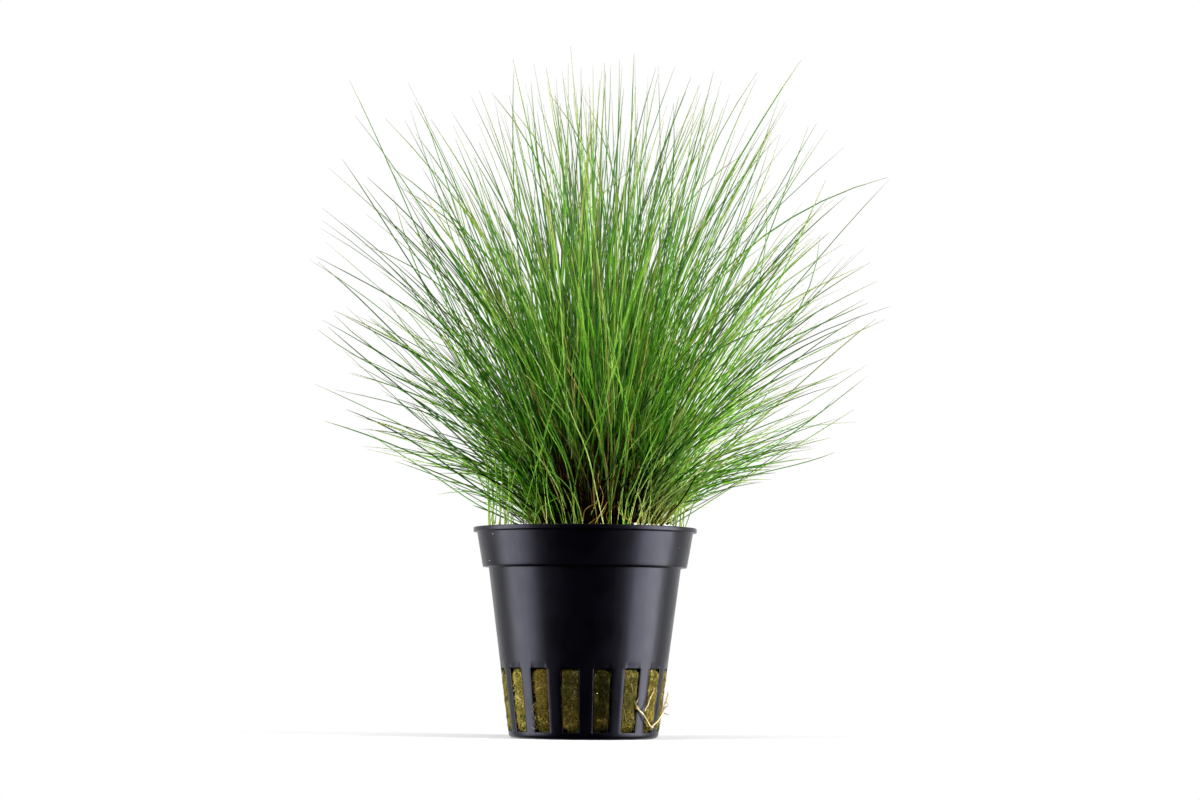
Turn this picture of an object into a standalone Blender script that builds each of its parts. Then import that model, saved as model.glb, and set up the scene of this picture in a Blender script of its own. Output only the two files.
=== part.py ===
"""Potted dwarf hairgrass, as sold for planted aquariums.

A small black net pot of thin moulded plastic holds a tapered plug of mineral
wool. Tufts of hair-thin leaves are rooted in the top of the plug and fan out
over the rim, and a pale runner has grown out through one of the pot's slots.

Metres, +Z up. The origin is the centre of the pot's underside, and the side
the pot is seen from is -Y.

A tuft is hundreds of leaves under half a millimetre thick. Here each one is
the closed spindle that its leaves fill: it stands in its own socket in the
wool, leans and bends as the tuft does, and ends at the tip of its longest
leaf.
"""

import math
import random

import bmesh
import bpy
from mathutils import Matrix, Vector

# ---------------------------------------------------------------- dimensions
MM = 0.001

# pot
POT_HEIGHT = 51.4 * MM
LIP_RADIUS = 27.5 * MM
LIP_HEIGHT = 1.15 * MM
COLLAR_TOP_RADIUS = 26.6 * MM
COLLAR_FOOT_RADIUS = 25.1 * MM
COLLAR_FOOT_Z = 41.65 * MM
BODY_TOP_RADIUS = 23.65 * MM
BODY_FOOT_RADIUS = 18.4 * MM
BODY_FOOT_Z = 1.3 * MM
WALL = 0.8 * MM
FLOOR = 1.0 * MM
TURN_STEPS = 64

# tall slots in the lower wall, and drain slots in the floor
SLOT_COUNT = 16
SLOT_PHASE = 1.5  # degrees from the front, towards +X, to the middle of a rib
SLOT_TOP_Z = 16.9 * MM
SLOT_FOOT_Z = 1.8 * MM
SLOT_TOP_WIDTH = 4.3 * MM
SLOT_FOOT_WIDTH = 3.85 * MM
DRAIN_COUNT = 8
DRAIN_INNER = 6.0 * MM
DRAIN_OUTER = 14.0 * MM
DRAIN_WIDTH = 2.2 * MM

# wool plug
GAP = 0.3 * MM  # between faces that touch on the real thing
PLUG_TOP_Z = 50.0 * MM
PLUG_STEPS = 48

# tufts: where they grow, and how far the leaves reach from the pot's axis
CROWN_X = 3.0 * MM  # the clump stands a little to the right of the axis
TOP_Z = 168.0 * MM
REACH_RIGHT = 74.7 * MM  # +X
REACH_LEFT = 67.8 * MM  # -X
REACH_DEPTH = 70.0 * MM  # +Y and -Y
SOCKET_DEPTH = 3.0 * MM
FOOT_RADIUS = 1.35 * MM
SOCKET_RADIUS = 2.05 * MM
SHOOT_RADIUS = 0.6 * MM
SHOOT_SOCKET_RADIUS = 1.2 * MM
SHOOT_RING = 22.2 * MM  # from the pot's axis
# azimuth about the crown in degrees, and height in mm, of each rim shoot
RIM_SHOOTS = (
    (10.0, 22.0),
    (70.0, 20.0),
    (130.0, 24.0),
    (170.0, 31.0),
    (190.0, 28.0),
    (230.0, 26.0),
    (290.0, 17.0),
    (350.0, 25.0),
)

# runner
RUNNER_RADIUS = 0.2 * MM
SIDE_ROOT_RADIUS = 0.13 * MM


# ------------------------------------------------------------------- helpers
def clear_scene():
    for obj in list(bpy.data.objects):
        bpy.data.objects.remove(obj, do_unlink=True)


def new_collection(name):
    coll = bpy.data.collections.new(name)
    bpy.context.scene.collection.children.link(coll)
    return coll


def material(name, colour, roughness, metallic=0.0):
    mat = bpy.data.materials.new(name)
    mat.use_nodes = True
    shader = mat.node_tree.nodes["Principled BSDF"]
    shader.inputs["Base Color"].default_value = (*colour, 1.0)
    shader.inputs["Roughness"].default_value = roughness
    shader.inputs["Metallic"].default_value = metallic
    mat.diffuse_color = (*colour, 1.0)
    return mat


def polar(radius, degrees, z=0.0):
    """A point at an azimuth counted from +X towards +Y."""
    a = math.radians(degrees)
    return Vector((radius * math.cos(a), radius * math.sin(a), z))


def wall_point(degrees, z, radius):
    """A point by its azimuth from the front (-Y) towards +X, in millimetres."""
    return polar(radius * MM, degrees - 90.0, z * MM)


def lathe(name, profile, steps, coll, mat):
    """Turn a profile of (radius, z) about Z. It runs down its outer side."""
    mesh = bpy.data.meshes.new(name)
    mesh.from_pydata(
        [(r, 0.0, z) for r, z in profile],
        [(i, i + 1) for i in range(len(profile) - 1)],
        [],
    )
    obj = bpy.data.objects.new(name, mesh)
    coll.objects.link(obj)
    screw = obj.modifiers.new("turn", "SCREW")
    screw.axis = "Z"
    screw.angle = math.radians(360.0)
    screw.steps = steps
    screw.render_steps = steps
    screw.use_merge_vertices = True
    screw.merge_threshold = 0.00001
    screw.use_smooth_shade = True
    obj.data.materials.append(mat)
    return obj


def cutter(name, bm, coll):
    """Turn a bmesh of closed blocks into a hidden cutter."""
    bmesh.ops.recalc_face_normals(bm, faces=bm.faces)
    mesh = bpy.data.meshes.new(name)
    bm.to_mesh(mesh)
    bm.free()
    obj = bpy.data.objects.new(name, mesh)
    coll.objects.link(obj)
    obj.hide_render = True
    obj.display_type = "WIRE"
    return obj


def cut(obj, tool):
    mod = obj.modifiers.new("cut by " + tool.name, "BOOLEAN")
    mod.operation = "DIFFERENCE"
    mod.solver = "EXACT"
    mod.object = tool


def tube(name, points, radii, sides_level, coll, mat):
    """A straight-sided poly curve with a round section that swells by point."""
    curve = bpy.data.curves.new(name, "CURVE")
    curve.dimensions = "3D"
    curve.bevel_depth = 1.0 * MM
    curve.bevel_resolution = sides_level
    curve.use_fill_caps = True
    spline = curve.splines.new("POLY")
    spline.points.add(len(points) - 1)
    for point, where, radius in zip(spline.points, points, radii):
        point.co = (*where, 1.0)
        point.radius = radius / MM
    spline.use_smooth = True
    obj = bpy.data.objects.new(name, curve)
    coll.objects.link(obj)
    obj.data.materials.append(mat)
    return obj


# ----------------------------------------------------------------------- pot
def inner_radius(z):
    """The body's inner wall below the collar."""
    foot, top = BODY_FOOT_RADIUS - WALL, BODY_TOP_RADIUS - WALL
    return foot + (top - foot) * (z - BODY_FOOT_Z) / (COLLAR_FOOT_Z - BODY_FOOT_Z)


def make_pot(coll, cutters, mat):
    step_z = COLLAR_FOOT_Z + WALL
    profile = [
        # up the inside, from the middle of the floor
        (0.0, FLOOR),
        (inner_radius(FLOOR), FLOOR),
        (inner_radius(step_z), step_z),
        (COLLAR_FOOT_RADIUS - WALL, step_z),
        (COLLAR_TOP_RADIUS - WALL, POT_HEIGHT - 0.25 * MM),
        (COLLAR_TOP_RADIUS - WALL + 0.2 * MM, POT_HEIGHT),
        # over the lip and down the outside
        (LIP_RADIUS - 0.25 * MM, POT_HEIGHT),
        (LIP_RADIUS, POT_HEIGHT - 0.25 * MM),
        (LIP_RADIUS, POT_HEIGHT - LIP_HEIGHT + 0.2 * MM),
        (LIP_RADIUS - 0.2 * MM, POT_HEIGHT - LIP_HEIGHT),
        (COLLAR_TOP_RADIUS, POT_HEIGHT - LIP_HEIGHT),
        (COLLAR_FOOT_RADIUS, COLLAR_FOOT_Z),
        (BODY_TOP_RADIUS, COLLAR_FOOT_Z),
        (BODY_FOOT_RADIUS, BODY_FOOT_Z),
        (BODY_FOOT_RADIUS - 0.35 * MM, 0.4 * MM),
        (BODY_FOOT_RADIUS - 1.2 * MM, 0.0),
        (0.0, 0.0),
    ]
    pot = lathe("pot", profile, TURN_STEPS, coll, mat)

    bm = bmesh.new()
    pitch = 360.0 / SLOT_COUNT
    for i in range(SLOT_COUNT):
        made = bmesh.ops.create_cube(bm, size=1.0)["verts"]
        for v in made:
            high = v.co.z > 0.0
            width = SLOT_TOP_WIDTH if high else SLOT_FOOT_WIDTH
            z = SLOT_TOP_Z if high else SLOT_FOOT_Z
            r = 23.0 * MM if v.co.x > 0.0 else 14.5 * MM
            v.co = Vector((r, v.co.y * width, z))
        turn = math.radians(-90.0 + SLOT_PHASE + pitch * (i + 0.5))
        bmesh.ops.rotate(bm, verts=made, matrix=Matrix.Rotation(turn, 3, "Z"))
    cut(pot, cutter("slot_cutters", bm, cutters))

    bm = bmesh.new()
    for i in range(DRAIN_COUNT):
        made = bmesh.ops.create_cube(bm, size=1.0)["verts"]
        for v in made:
            r = DRAIN_OUTER if v.co.x > 0.0 else DRAIN_INNER
            z = 2.0 * MM if v.co.z > 0.0 else -1.0 * MM
            v.co = Vector((r, v.co.y * DRAIN_WIDTH, z))
        turn = math.radians(360.0 / DRAIN_COUNT * (i + 0.5))
        bmesh.ops.rotate(bm, verts=made, matrix=Matrix.Rotation(turn, 3, "Z"))
    cut(pot, cutter("drain_cutters", bm, cutters))
    return pot


# ---------------------------------------------------------------------- plug
def make_plug(coll, mat):
    """The wool fills the pot and bulges into the wider collar."""
    step_z = COLLAR_FOOT_Z + WALL
    side = GAP * 1.1
    profile = [
        (0.0, PLUG_TOP_Z),
        (22.6 * MM, PLUG_TOP_Z),
        (24.3 * MM, PLUG_TOP_Z - 0.6 * MM),
        (24.9 * MM, PLUG_TOP_Z - 2.0 * MM),
        (COLLAR_FOOT_RADIUS - WALL - side, step_z + GAP + 0.05 * MM),
        (inner_radius(step_z) - side, step_z + GAP + 0.05 * MM),
        (inner_radius(FLOOR + GAP) - side, FLOOR + GAP),
        (0.0, FLOOR + GAP),
    ]
    return lathe("rockwool_plug", profile, PLUG_STEPS, coll, mat)


# --------------------------------------------------------------------- tufts
# share of a tuft's length, and its radius there, for a tuft 100 mm long
SPINDLE = (
    (0.00, 1.35),
    (0.12, 1.75),
    (0.28, 2.7),
    (0.46, 3.6),
    (0.64, 3.7),
    (0.80, 2.8),
    (0.92, 1.5),
    (1.00, 0.25),
)


def tuft_plan():
    """Foot, first direction and tip of every tuft, from the middle outwards.

    The feet stand on rings. Each tuft leaves its foot as if it came from one
    point under the wool's top, so neighbours spread apart and never cross, and
    then bends outwards under its own weight. In the outer two rings every
    second tuft is a longer, more upright one.
    """
    rng = random.Random(11)
    plan = [(0.0, 0.0, 0.0, 4.0 * MM, 160.0 * MM)]
    rings = (
        # count, foot ring, phase, (reach, height) of even and of odd tufts
        (6, 4.8, 15.0, ((34.0, 163.0), (40.0, 157.0))),
        (12, 9.6, 0.0, ((63.0, 138.0), (52.0, 152.0))),
        (18, 14.4, 0.0, ((67.0, 104.0), (60.0, 80.0))),
    )
    for count, ring, phase, kinds in rings:
        for i in range(count):
            azimuth = phase + 360.0 * i / count
            reach, height = kinds[i % 2]
            reach += rng.uniform(-3.0, 2.0)
            height += rng.uniform(-4.0, 4.0)
            drift = rng.uniform(-2.5, 2.5)
            plan.append((ring * MM, azimuth, azimuth + drift, reach * MM, height * MM))
    return plan


def limit_tip(tip):
    """Keep a tip, with its rounding, inside the reach of the leaves."""
    edge = 0.25 * MM
    tip.x = max(-REACH_LEFT + edge, min(REACH_RIGHT - edge, tip.x))
    tip.y = max(-REACH_DEPTH + edge, min(REACH_DEPTH - edge, tip.y))
    tip.z = min(TOP_Z - edge, tip.z)
    return tip


# Tips that set how far the plant reaches, by place in the plan, in mm.
SET_TIPS = {
    1: (53.0, 14.0, 168.0),  # the tallest leaf, leaning right
    4: (-44.0, -16.0, 159.0),
    7: (74.7, -5.0, 138.0),  # the longest on the right
    10: (5.0, 70.0, 134.0),  # at the back
    16: (-2.0, -70.0, 136.0),  # at the front
    28: (-67.8, 0.0, 104.0),  # and on the left
}


def make_tufts(coll, cutters, mat):
    apex = 22.0 * MM
    bm = bmesh.new()
    crown = Vector((CROWN_X, 0.0, 0.0))
    for n, (ring, azimuth, tip_azimuth, reach, height) in enumerate(tuft_plan()):
        tip = crown + polar(reach, tip_azimuth, height)
        if n in SET_TIPS:
            tip = Vector(SET_TIPS[n]) * MM
        tip = limit_tip(tip)
        top = crown + polar(ring, azimuth, PLUG_TOP_Z)
        lean = polar(ring, azimuth, apex).normalized()
        run = (tip - top).length
        bend = top + lean * run * 0.5
        scale = run / (100.0 * MM)
        points = [top - lean * (SOCKET_DEPTH - GAP)]
        radii = [FOOT_RADIUS]
        for t, r in SPINDLE:
            points.append(top * (1 - t) ** 2 + bend * 2 * t * (1 - t) + tip * t * t)
            swell = r * MM * (scale if 0.1 < t < 0.99 else 1.0)
            radii.append(swell)
        tube(f"tuft_{n + 1:02d}", points, radii, 1, coll, mat)
        socket(bm, top, lean, SOCKET_RADIUS, SOCKET_DEPTH)

    # single young shoots that have come up at the rim, between the tufts
    for i, (azimuth, tall) in enumerate(RIM_SHOOTS):
        # out from the crown along its azimuth as far as the ring near the rim
        out = polar(1.0, azimuth)
        along = -CROWN_X * out.x + math.sqrt(SHOOT_RING**2 - (CROWN_X * out.y) ** 2)
        foot = crown + out * along + Vector((0.0, 0.0, PLUG_TOP_Z))
        tip = foot + out * 1.5 * MM + Vector((0.0, 0.0, tall * MM))
        up = Vector((0.0, 0.0, 1.0))
        points = [foot - up * (SOCKET_DEPTH - GAP)]
        radii = [SHOOT_RADIUS * 0.8]
        for t, r in ((0.0, 0.9), (0.3, 1.0), (0.6, 0.9), (0.85, 0.6), (1.0, 0.3)):
            points.append(foot.lerp(tip, t))
            radii.append(SHOOT_RADIUS * r)
        tube(f"rim_shoot_{i + 1:02d}", points, radii, 1, coll, mat)
        socket(bm, foot, up, SHOOT_SOCKET_RADIUS, SOCKET_DEPTH)
    return cutter("socket_cutters", bm, cutters)


def socket(bm, top, lean, radius, depth):
    """A six-sided hole in the wool, along the way a tuft leaves it."""
    above = 1.5 * radius
    middle = top + lean * (above - depth) / 2
    turn = lean.to_track_quat("Z", "X").to_matrix().to_4x4()
    bmesh.ops.create_cone(
        bm,
        cap_ends=True,
        segments=6,
        radius1=radius,
        radius2=radius,
        depth=depth + above,
        matrix=Matrix.Translation(middle) @ turn,
    )


# -------------------------------------------------------------------- runner
# azimuth from the front in degrees, height and distance from the axis in mm
RUNNER_ROUTE = (
    (39.3, 10.2, 18.85),
    (39.6, 8.8, 19.3),
    (41.5, 7.4, 19.75),
    (46.7, 6.1, 19.7),
    (51.1, 4.6, 19.6),
    (56.6, 3.1, 19.5),
    (60.7, 3.8, 19.7),
    (65.5, 4.5, 19.8),
    (73.2, 6.3, 20.0),
    (75.5, 7.8, 20.2),
    (80.5, 9.0, 20.35),
    (84.0, 10.4, 20.6),
    (86.5, 11.6, 20.7),
)
SIDE_ROOT_ROUTE = (
    (47.8, 7.0, 19.7),
    (50.3, 8.1, 19.9),
    (53.1, 10.2, 20.1),
    (57.0, 11.7, 20.1),
    (60.0, 13.1, 19.6),
    (61.5, 14.2, 19.4),
)


def make_runner(coll, mat):
    points = [wall_point(*p) for p in RUNNER_ROUTE]
    radii = [RUNNER_RADIUS * k for k in (0.8, 0.9, 1, 1.1, 1, 1.15, 1, 1, 1.1, 0.9, 1.2, 0.7, 0.5)]
    tube("runner_stem", points, radii, 2, coll, mat)
    points = [wall_point(*p) for p in SIDE_ROOT_ROUTE]
    radii = [SIDE_ROOT_RADIUS * k for k in (1.1, 1, 1, 0.9, 0.8, 0.7)]
    tube("runner_side_root", points, radii, 2, coll, mat)


# ---------------------------------------------------------------------- main
def main():
    clear_scene()
    parts = new_collection("potted_dwarf_hairgrass")
    cutters = new_collection("cutters")
    black = material("pot_plastic", (0.012, 0.011, 0.014), 0.38)
    wool = material("rockwool", (0.20, 0.16, 0.055), 0.95)
    green = material("leaf_green", (0.10, 0.22, 0.035), 0.5)
    shoot = material("shoot_green", (0.16, 0.30, 0.06), 0.5)
    straw = material("runner_straw", (0.72, 0.62, 0.36), 0.5)

    make_pot(parts, cutters, black)
    plug = make_plug(parts, wool)
    cut(plug, make_tufts(parts, cutters, green))
    for obj in parts.objects:
        if obj.name.startswith("rim_shoot"):
            obj.data.materials.clear()
            obj.data.materials.append(shoot)
    make_runner(parts, straw)


main()
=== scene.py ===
"""Looks of the potted dwarf hairgrass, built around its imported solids.

Metres, +Z up. The origin is the centre of the pot's underside, and the side the
pot is seen from is -Y. The pot, the wool, the single leaves, the dry sheaths at
the crown and the runner are all modelled here, each in the place of its solid.
"""

import math
import random

import bpy
import numpy as np
from mathutils import Matrix, Vector


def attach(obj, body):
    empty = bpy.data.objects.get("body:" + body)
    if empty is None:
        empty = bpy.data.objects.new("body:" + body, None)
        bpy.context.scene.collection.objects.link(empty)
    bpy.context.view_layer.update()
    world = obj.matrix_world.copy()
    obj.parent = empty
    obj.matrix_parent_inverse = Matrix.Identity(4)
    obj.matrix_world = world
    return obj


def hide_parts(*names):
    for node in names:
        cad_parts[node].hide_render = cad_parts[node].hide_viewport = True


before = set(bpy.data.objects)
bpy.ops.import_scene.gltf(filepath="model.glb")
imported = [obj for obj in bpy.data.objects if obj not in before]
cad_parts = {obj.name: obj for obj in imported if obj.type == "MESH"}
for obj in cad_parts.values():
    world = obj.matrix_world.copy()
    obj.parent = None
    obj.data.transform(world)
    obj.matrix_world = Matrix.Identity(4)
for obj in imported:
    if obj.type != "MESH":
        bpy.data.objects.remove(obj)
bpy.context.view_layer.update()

MM = 0.001

# ------------------------------------------------ dimensions, as in the solids
POT_HEIGHT = 51.4
LIP_RADIUS = 27.5
COLLAR_TOP_RADIUS = 26.6
COLLAR_FOOT_RADIUS = 25.1
COLLAR_FOOT_Z = 41.65
BODY_TOP_RADIUS = 23.65
BODY_FOOT_RADIUS = 18.4
BODY_FOOT_Z = 1.3
WALL = 0.8
FLOOR = 1.0
SLOT_COUNT = 16
SLOT_PHASE = 1.5
SLOT_TOP_Z = 16.9
SLOT_FOOT_Z = 1.8
SLOT_TOP_HALF = 4.3 / 2
SLOT_FOOT_HALF = 3.85 / 2
DRAIN_COUNT = 8
DRAIN_INNER = 6.0
DRAIN_OUTER = 14.0
DRAIN_HALF = 1.1
PLUG_TOP_Z = 50.0
CROWN_X = 3.0

# ============================================================ mesh helpers


def mesh_object(name, verts, quads, tris, mats, uv=None, attributes=None, sharp=None):
    """A mesh object from arrays. Units are metres. uv is one pair per corner."""
    quads = np.asarray(quads, np.int32).reshape(-1, 4)
    tris = np.asarray(tris, np.int32).reshape(-1, 3)
    loops = np.concatenate([quads.ravel(), tris.ravel()])
    starts = np.concatenate(
        [np.arange(len(quads)) * 4, len(quads) * 4 + np.arange(len(tris)) * 3]
    )
    mesh = bpy.data.meshes.new(name)
    mesh.vertices.add(len(verts))
    mesh.vertices.foreach_set("co", np.asarray(verts, np.float32).ravel())
    mesh.loops.add(len(loops))
    mesh.loops.foreach_set("vertex_index", loops.astype(np.int32))
    mesh.polygons.add(len(starts))
    mesh.polygons.foreach_set("loop_start", starts.astype(np.int32))
    mesh.update(calc_edges=True)
    if uv is not None:
        layer = mesh.uv_layers.new(name="OFBake")
        layer.data.foreach_set("uv", np.asarray(uv, np.float32).ravel())
    for key, values in (attributes or {}).items():
        made = mesh.attributes.new(key, "FLOAT", "POINT")
        made.data.foreach_set("value", np.asarray(values, np.float32).ravel())
    mesh.shade_smooth()
    if sharp is not None:
        mesh.set_sharp_from_angle(angle=math.radians(sharp))
    obj = bpy.data.objects.new(name, mesh)
    bpy.context.scene.collection.objects.link(obj)
    for mat in mats:
        mesh.materials.append(mat)
    return obj


def unit(v):
    return v / np.maximum(np.linalg.norm(v, axis=-1, keepdims=True), 1e-12)


def tubes(paths, radii, sides, rng):
    """Closed tubes along paths (N, S, 3) with radii (N, S).

    Gives vertices, quads, triangles, one UV pair per corner, and for each
    vertex the tube it is on and its share of the way along.
    """
    count, steps, _ = paths.shape
    along = unit(np.gradient(paths, axis=1))
    chord = unit(paths[:, -1] - paths[:, 0])
    side = unit(np.cross(chord, rng.normal(size=(count, 3))))[:, None, :]
    side = unit(side - (side * along).sum(-1, keepdims=True) * along)
    other = np.cross(along, side)
    turn = np.arange(sides) * 2 * np.pi / sides
    ring = (
        paths[:, :, None, :]
        + radii[:, :, None, None]
        * (
            np.cos(turn)[None, None, :, None] * side[:, :, None, :]
            + np.sin(turn)[None, None, :, None] * other[:, :, None, :]
        )
    ).reshape(count, steps * sides, 3)
    foot = paths[:, :1] - along[:, :1] * radii[:, :1, None] * 0.3
    tip = paths[:, -1:] + along[:, -1:] * radii[:, -1:, None] * 1.5
    verts = np.concatenate([ring, foot, tip], axis=1)
    per = steps * sides + 2
    i, k = np.meshgrid(np.arange(steps - 1), np.arange(sides), indexing="ij")
    i, k = i.ravel(), k.ravel()
    k2 = (k + 1) % sides
    quad = np.stack(
        [i * sides + k, i * sides + k2, (i + 1) * sides + k2, (i + 1) * sides + k], 1
    )
    kk = np.arange(sides)
    kn = (kk + 1) % sides
    cap0 = np.stack([np.full(sides, per - 2), kn, kk], 1)
    last = (steps - 1) * sides
    cap1 = np.stack([np.full(sides, per - 1), last + kk, last + kn], 1)
    tri = np.concatenate([cap0, cap1])
    base = (np.arange(count) * per)[:, None, None]
    quads = (quad[None] + base).reshape(-1, 4)
    tris = (tri[None] + base).reshape(-1, 3)
    share = np.linspace(0, 1, steps)
    # u runs round the tube inside the tube's own strip of the map
    qu = np.stack([k, k + 1, k + 1, k], 1) / sides
    qv = np.stack([share[i], share[i], share[i + 1], share[i + 1]], 1)
    tu = np.concatenate(
        [
            np.stack([kk + 0.5, kk + 1, kk], 1) / sides,
            np.stack([kk + 0.5, kk, kk + 1], 1) / sides,
        ]
    )
    tv = np.concatenate([np.zeros((sides, 3)), np.ones((sides, 3))])
    strip = np.arange(count)[:, None, None]
    uv_q = np.stack(
        [
            (strip + 0.06 + 0.88 * qu[None]) / count,
            np.broadcast_to(0.01 + 0.98 * qv[None], (count, *qv.shape)),
        ],
        -1,
    ).reshape(-1, 2)
    uv_t = np.stack(
        [
            (strip + 0.06 + 0.88 * tu[None]) / count,
            np.broadcast_to(0.01 + 0.98 * tv[None], (count, *tv.shape)),
        ],
        -1,
    ).reshape(-1, 2)
    which = np.repeat(np.arange(count), per)
    where = np.tile(np.concatenate([np.repeat(share, sides), [0.0, 1.0]]), count)
    return verts.reshape(-1, 3), quads, tris, np.concatenate([uv_q, uv_t]), which, where


def smooth_step(x):
    x = np.clip(x, 0.0, 1.0)
    return x * x * (3 - 2 * x)


def waves(points, scale, seed, octaves=3, rough=0.5):
    """Smooth noise in about -1 to 1 at (N, 3) points, as a sum of turned sines."""
    rng = np.random.default_rng(seed)
    total, height, top = np.zeros(len(points)), 1.0, 0.0
    for _ in range(octaves):
        part = np.zeros(len(points))
        for _ in range(5):
            way = unit(rng.normal(size=3)) * scale
            part += np.sin(points @ way * 2 * np.pi + rng.uniform(0, 6.28))
        total += height * part / 2.6
        top += height
        height *= rough
        scale *= 2.03
    return total / top


# ============================================================ node helpers


class Shader:
    """A Principled material with its pattern nodes."""

    def __init__(self, name):
        self.mat = bpy.data.materials.new(name)
        self.mat.use_nodes = True
        self.tree = self.mat.node_tree
        self.bsdf = self.tree.nodes["Principled BSDF"]

    def node(self, kind, **settings):
        n = self.tree.nodes.new(kind)
        for key, value in settings.items():
            setattr(n, key, value)
        return n

    def link(self, a, b):
        self.tree.links.new(a, b)

    def set(self, **values):
        for key, value in values.items():
            self.bsdf.inputs[key.replace("_", " ")].default_value = value

    def place(self, stretch=None, kind="Object"):
        out = self.node("ShaderNodeTexCoord").outputs[kind]
        if stretch is None:
            return out
        m = self.node("ShaderNodeMapping")
        m.inputs["Scale"].default_value = stretch
        self.link(out, m.inputs["Vector"])
        return m.outputs["Vector"]

    def noise(self, where, scale, detail=3.0, rough=0.5, distortion=0.0):
        n = self.node("ShaderNodeTexNoise")
        n.inputs["Scale"].default_value = scale
        n.inputs["Detail"].default_value = detail
        n.inputs["Roughness"].default_value = rough
        n.inputs["Distortion"].default_value = distortion
        self.link(where, n.inputs["Vector"])
        return n.outputs["Fac"]

    def cells(self, where, scale, randomness=1.0):
        n = self.node("ShaderNodeTexVoronoi")
        n.inputs["Scale"].default_value = scale
        n.inputs["Randomness"].default_value = randomness
        self.link(where, n.inputs["Vector"])
        return n

    def attribute(self, name):
        return self.node("ShaderNodeAttribute", attribute_name=name).outputs["Fac"]

    def ramp(self, fac, stops, interpolation="LINEAR"):
        n = self.node("ShaderNodeValToRGB")
        n.color_ramp.interpolation = interpolation
        while len(n.color_ramp.elements) < len(stops):
            n.color_ramp.elements.new(0.5)
        for e, (at, colour) in zip(n.color_ramp.elements, stops):
            e.position = at
            e.color = (*colour, 1.0)
        self.link(fac, n.inputs["Fac"])
        return n.outputs["Color"]

    def mix(self, fac, a, b, blend="MIX"):
        n = self.node("ShaderNodeMix", data_type="RGBA", blend_type=blend)
        n.clamp_factor = True
        for socket, value in ((n.inputs[0], fac), (n.inputs[6], a), (n.inputs[7], b)):
            if isinstance(value, bpy.types.NodeSocket):
                self.link(value, socket)
            elif isinstance(value, tuple):
                socket.default_value = (*value, 1.0)
            else:
                socket.default_value = value
        return n.outputs[2]

    def span(self, fac, low, high, to_low=0.0, to_high=1.0):
        n = self.node("ShaderNodeMapRange", clamp=True)
        self.link(fac, n.inputs["Value"])
        n.inputs["From Min"].default_value = low
        n.inputs["From Max"].default_value = high
        n.inputs["To Min"].default_value = to_low
        n.inputs["To Max"].default_value = to_high
        return n.outputs["Result"]

    def math(self, operation, a, b=None):
        n = self.node("ShaderNodeMath", operation=operation)
        for socket, value in ((n.inputs[0], a), (n.inputs[1], b)):
            if isinstance(value, bpy.types.NodeSocket):
                self.link(value, socket)
            elif value is not None:
                socket.default_value = value
        return n.outputs[0]

    def bump(self, height, strength, distance):
        n = self.node("ShaderNodeBump")
        n.inputs["Strength"].default_value = strength
        n.inputs["Distance"].default_value = distance
        self.link(height, n.inputs["Height"])
        self.link(n.outputs["Normal"], self.bsdf.inputs["Normal"])


# =============================================================== materials


def plastic_material():
    """Thin black injection-moulded plastic, satin, with fine scuffs and dust."""
    s = Shader("black_moulded_plastic")
    s.set(IOR=1.28, Metallic=0.0, Specular_Tint=(0.75, 0.755, 1.0, 1.0))
    where = s.place()
    cloud = s.noise(where, 160, 4, 0.55)
    colour = s.ramp(
        cloud, [(0.30, (0.0004, 0.0003, 0.0009)), (0.75, (0.0012, 0.0010, 0.0022))]
    )
    # fine dust that has settled on the wall
    dust = s.cells(where, 900)
    speck = s.span(dust.outputs["Distance"], 0.05, 0.11, 1.0, 0.0)
    few = s.span(s.noise(where, 70, 3, 0.6), 0.56, 0.70)
    colour = s.mix(
        s.math("MULTIPLY", s.math("MULTIPLY", speck, few), 0.35),
        colour,
        (0.16, 0.155, 0.15),
    )
    s.link(colour, s.bsdf.inputs["Base Color"])
    # upright draw marks of the mould, and a soft unevenness of the gloss
    draw = s.noise(s.place((260, 260, 14)), 5, 3, 0.6)
    rough = s.math(
        "ADD", s.span(cloud, 0.25, 0.75, 0.27, 0.36), s.span(draw, 0.3, 0.7, 0.0, 0.05)
    )
    s.link(rough, s.bsdf.inputs["Roughness"])
    grain = s.noise(where, 2600, 3, 0.6)
    height = s.math("ADD", s.math("MULTIPLY", grain, 0.35), draw)
    s.bump(height, 0.16, 0.00006)
    return s.mat


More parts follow.
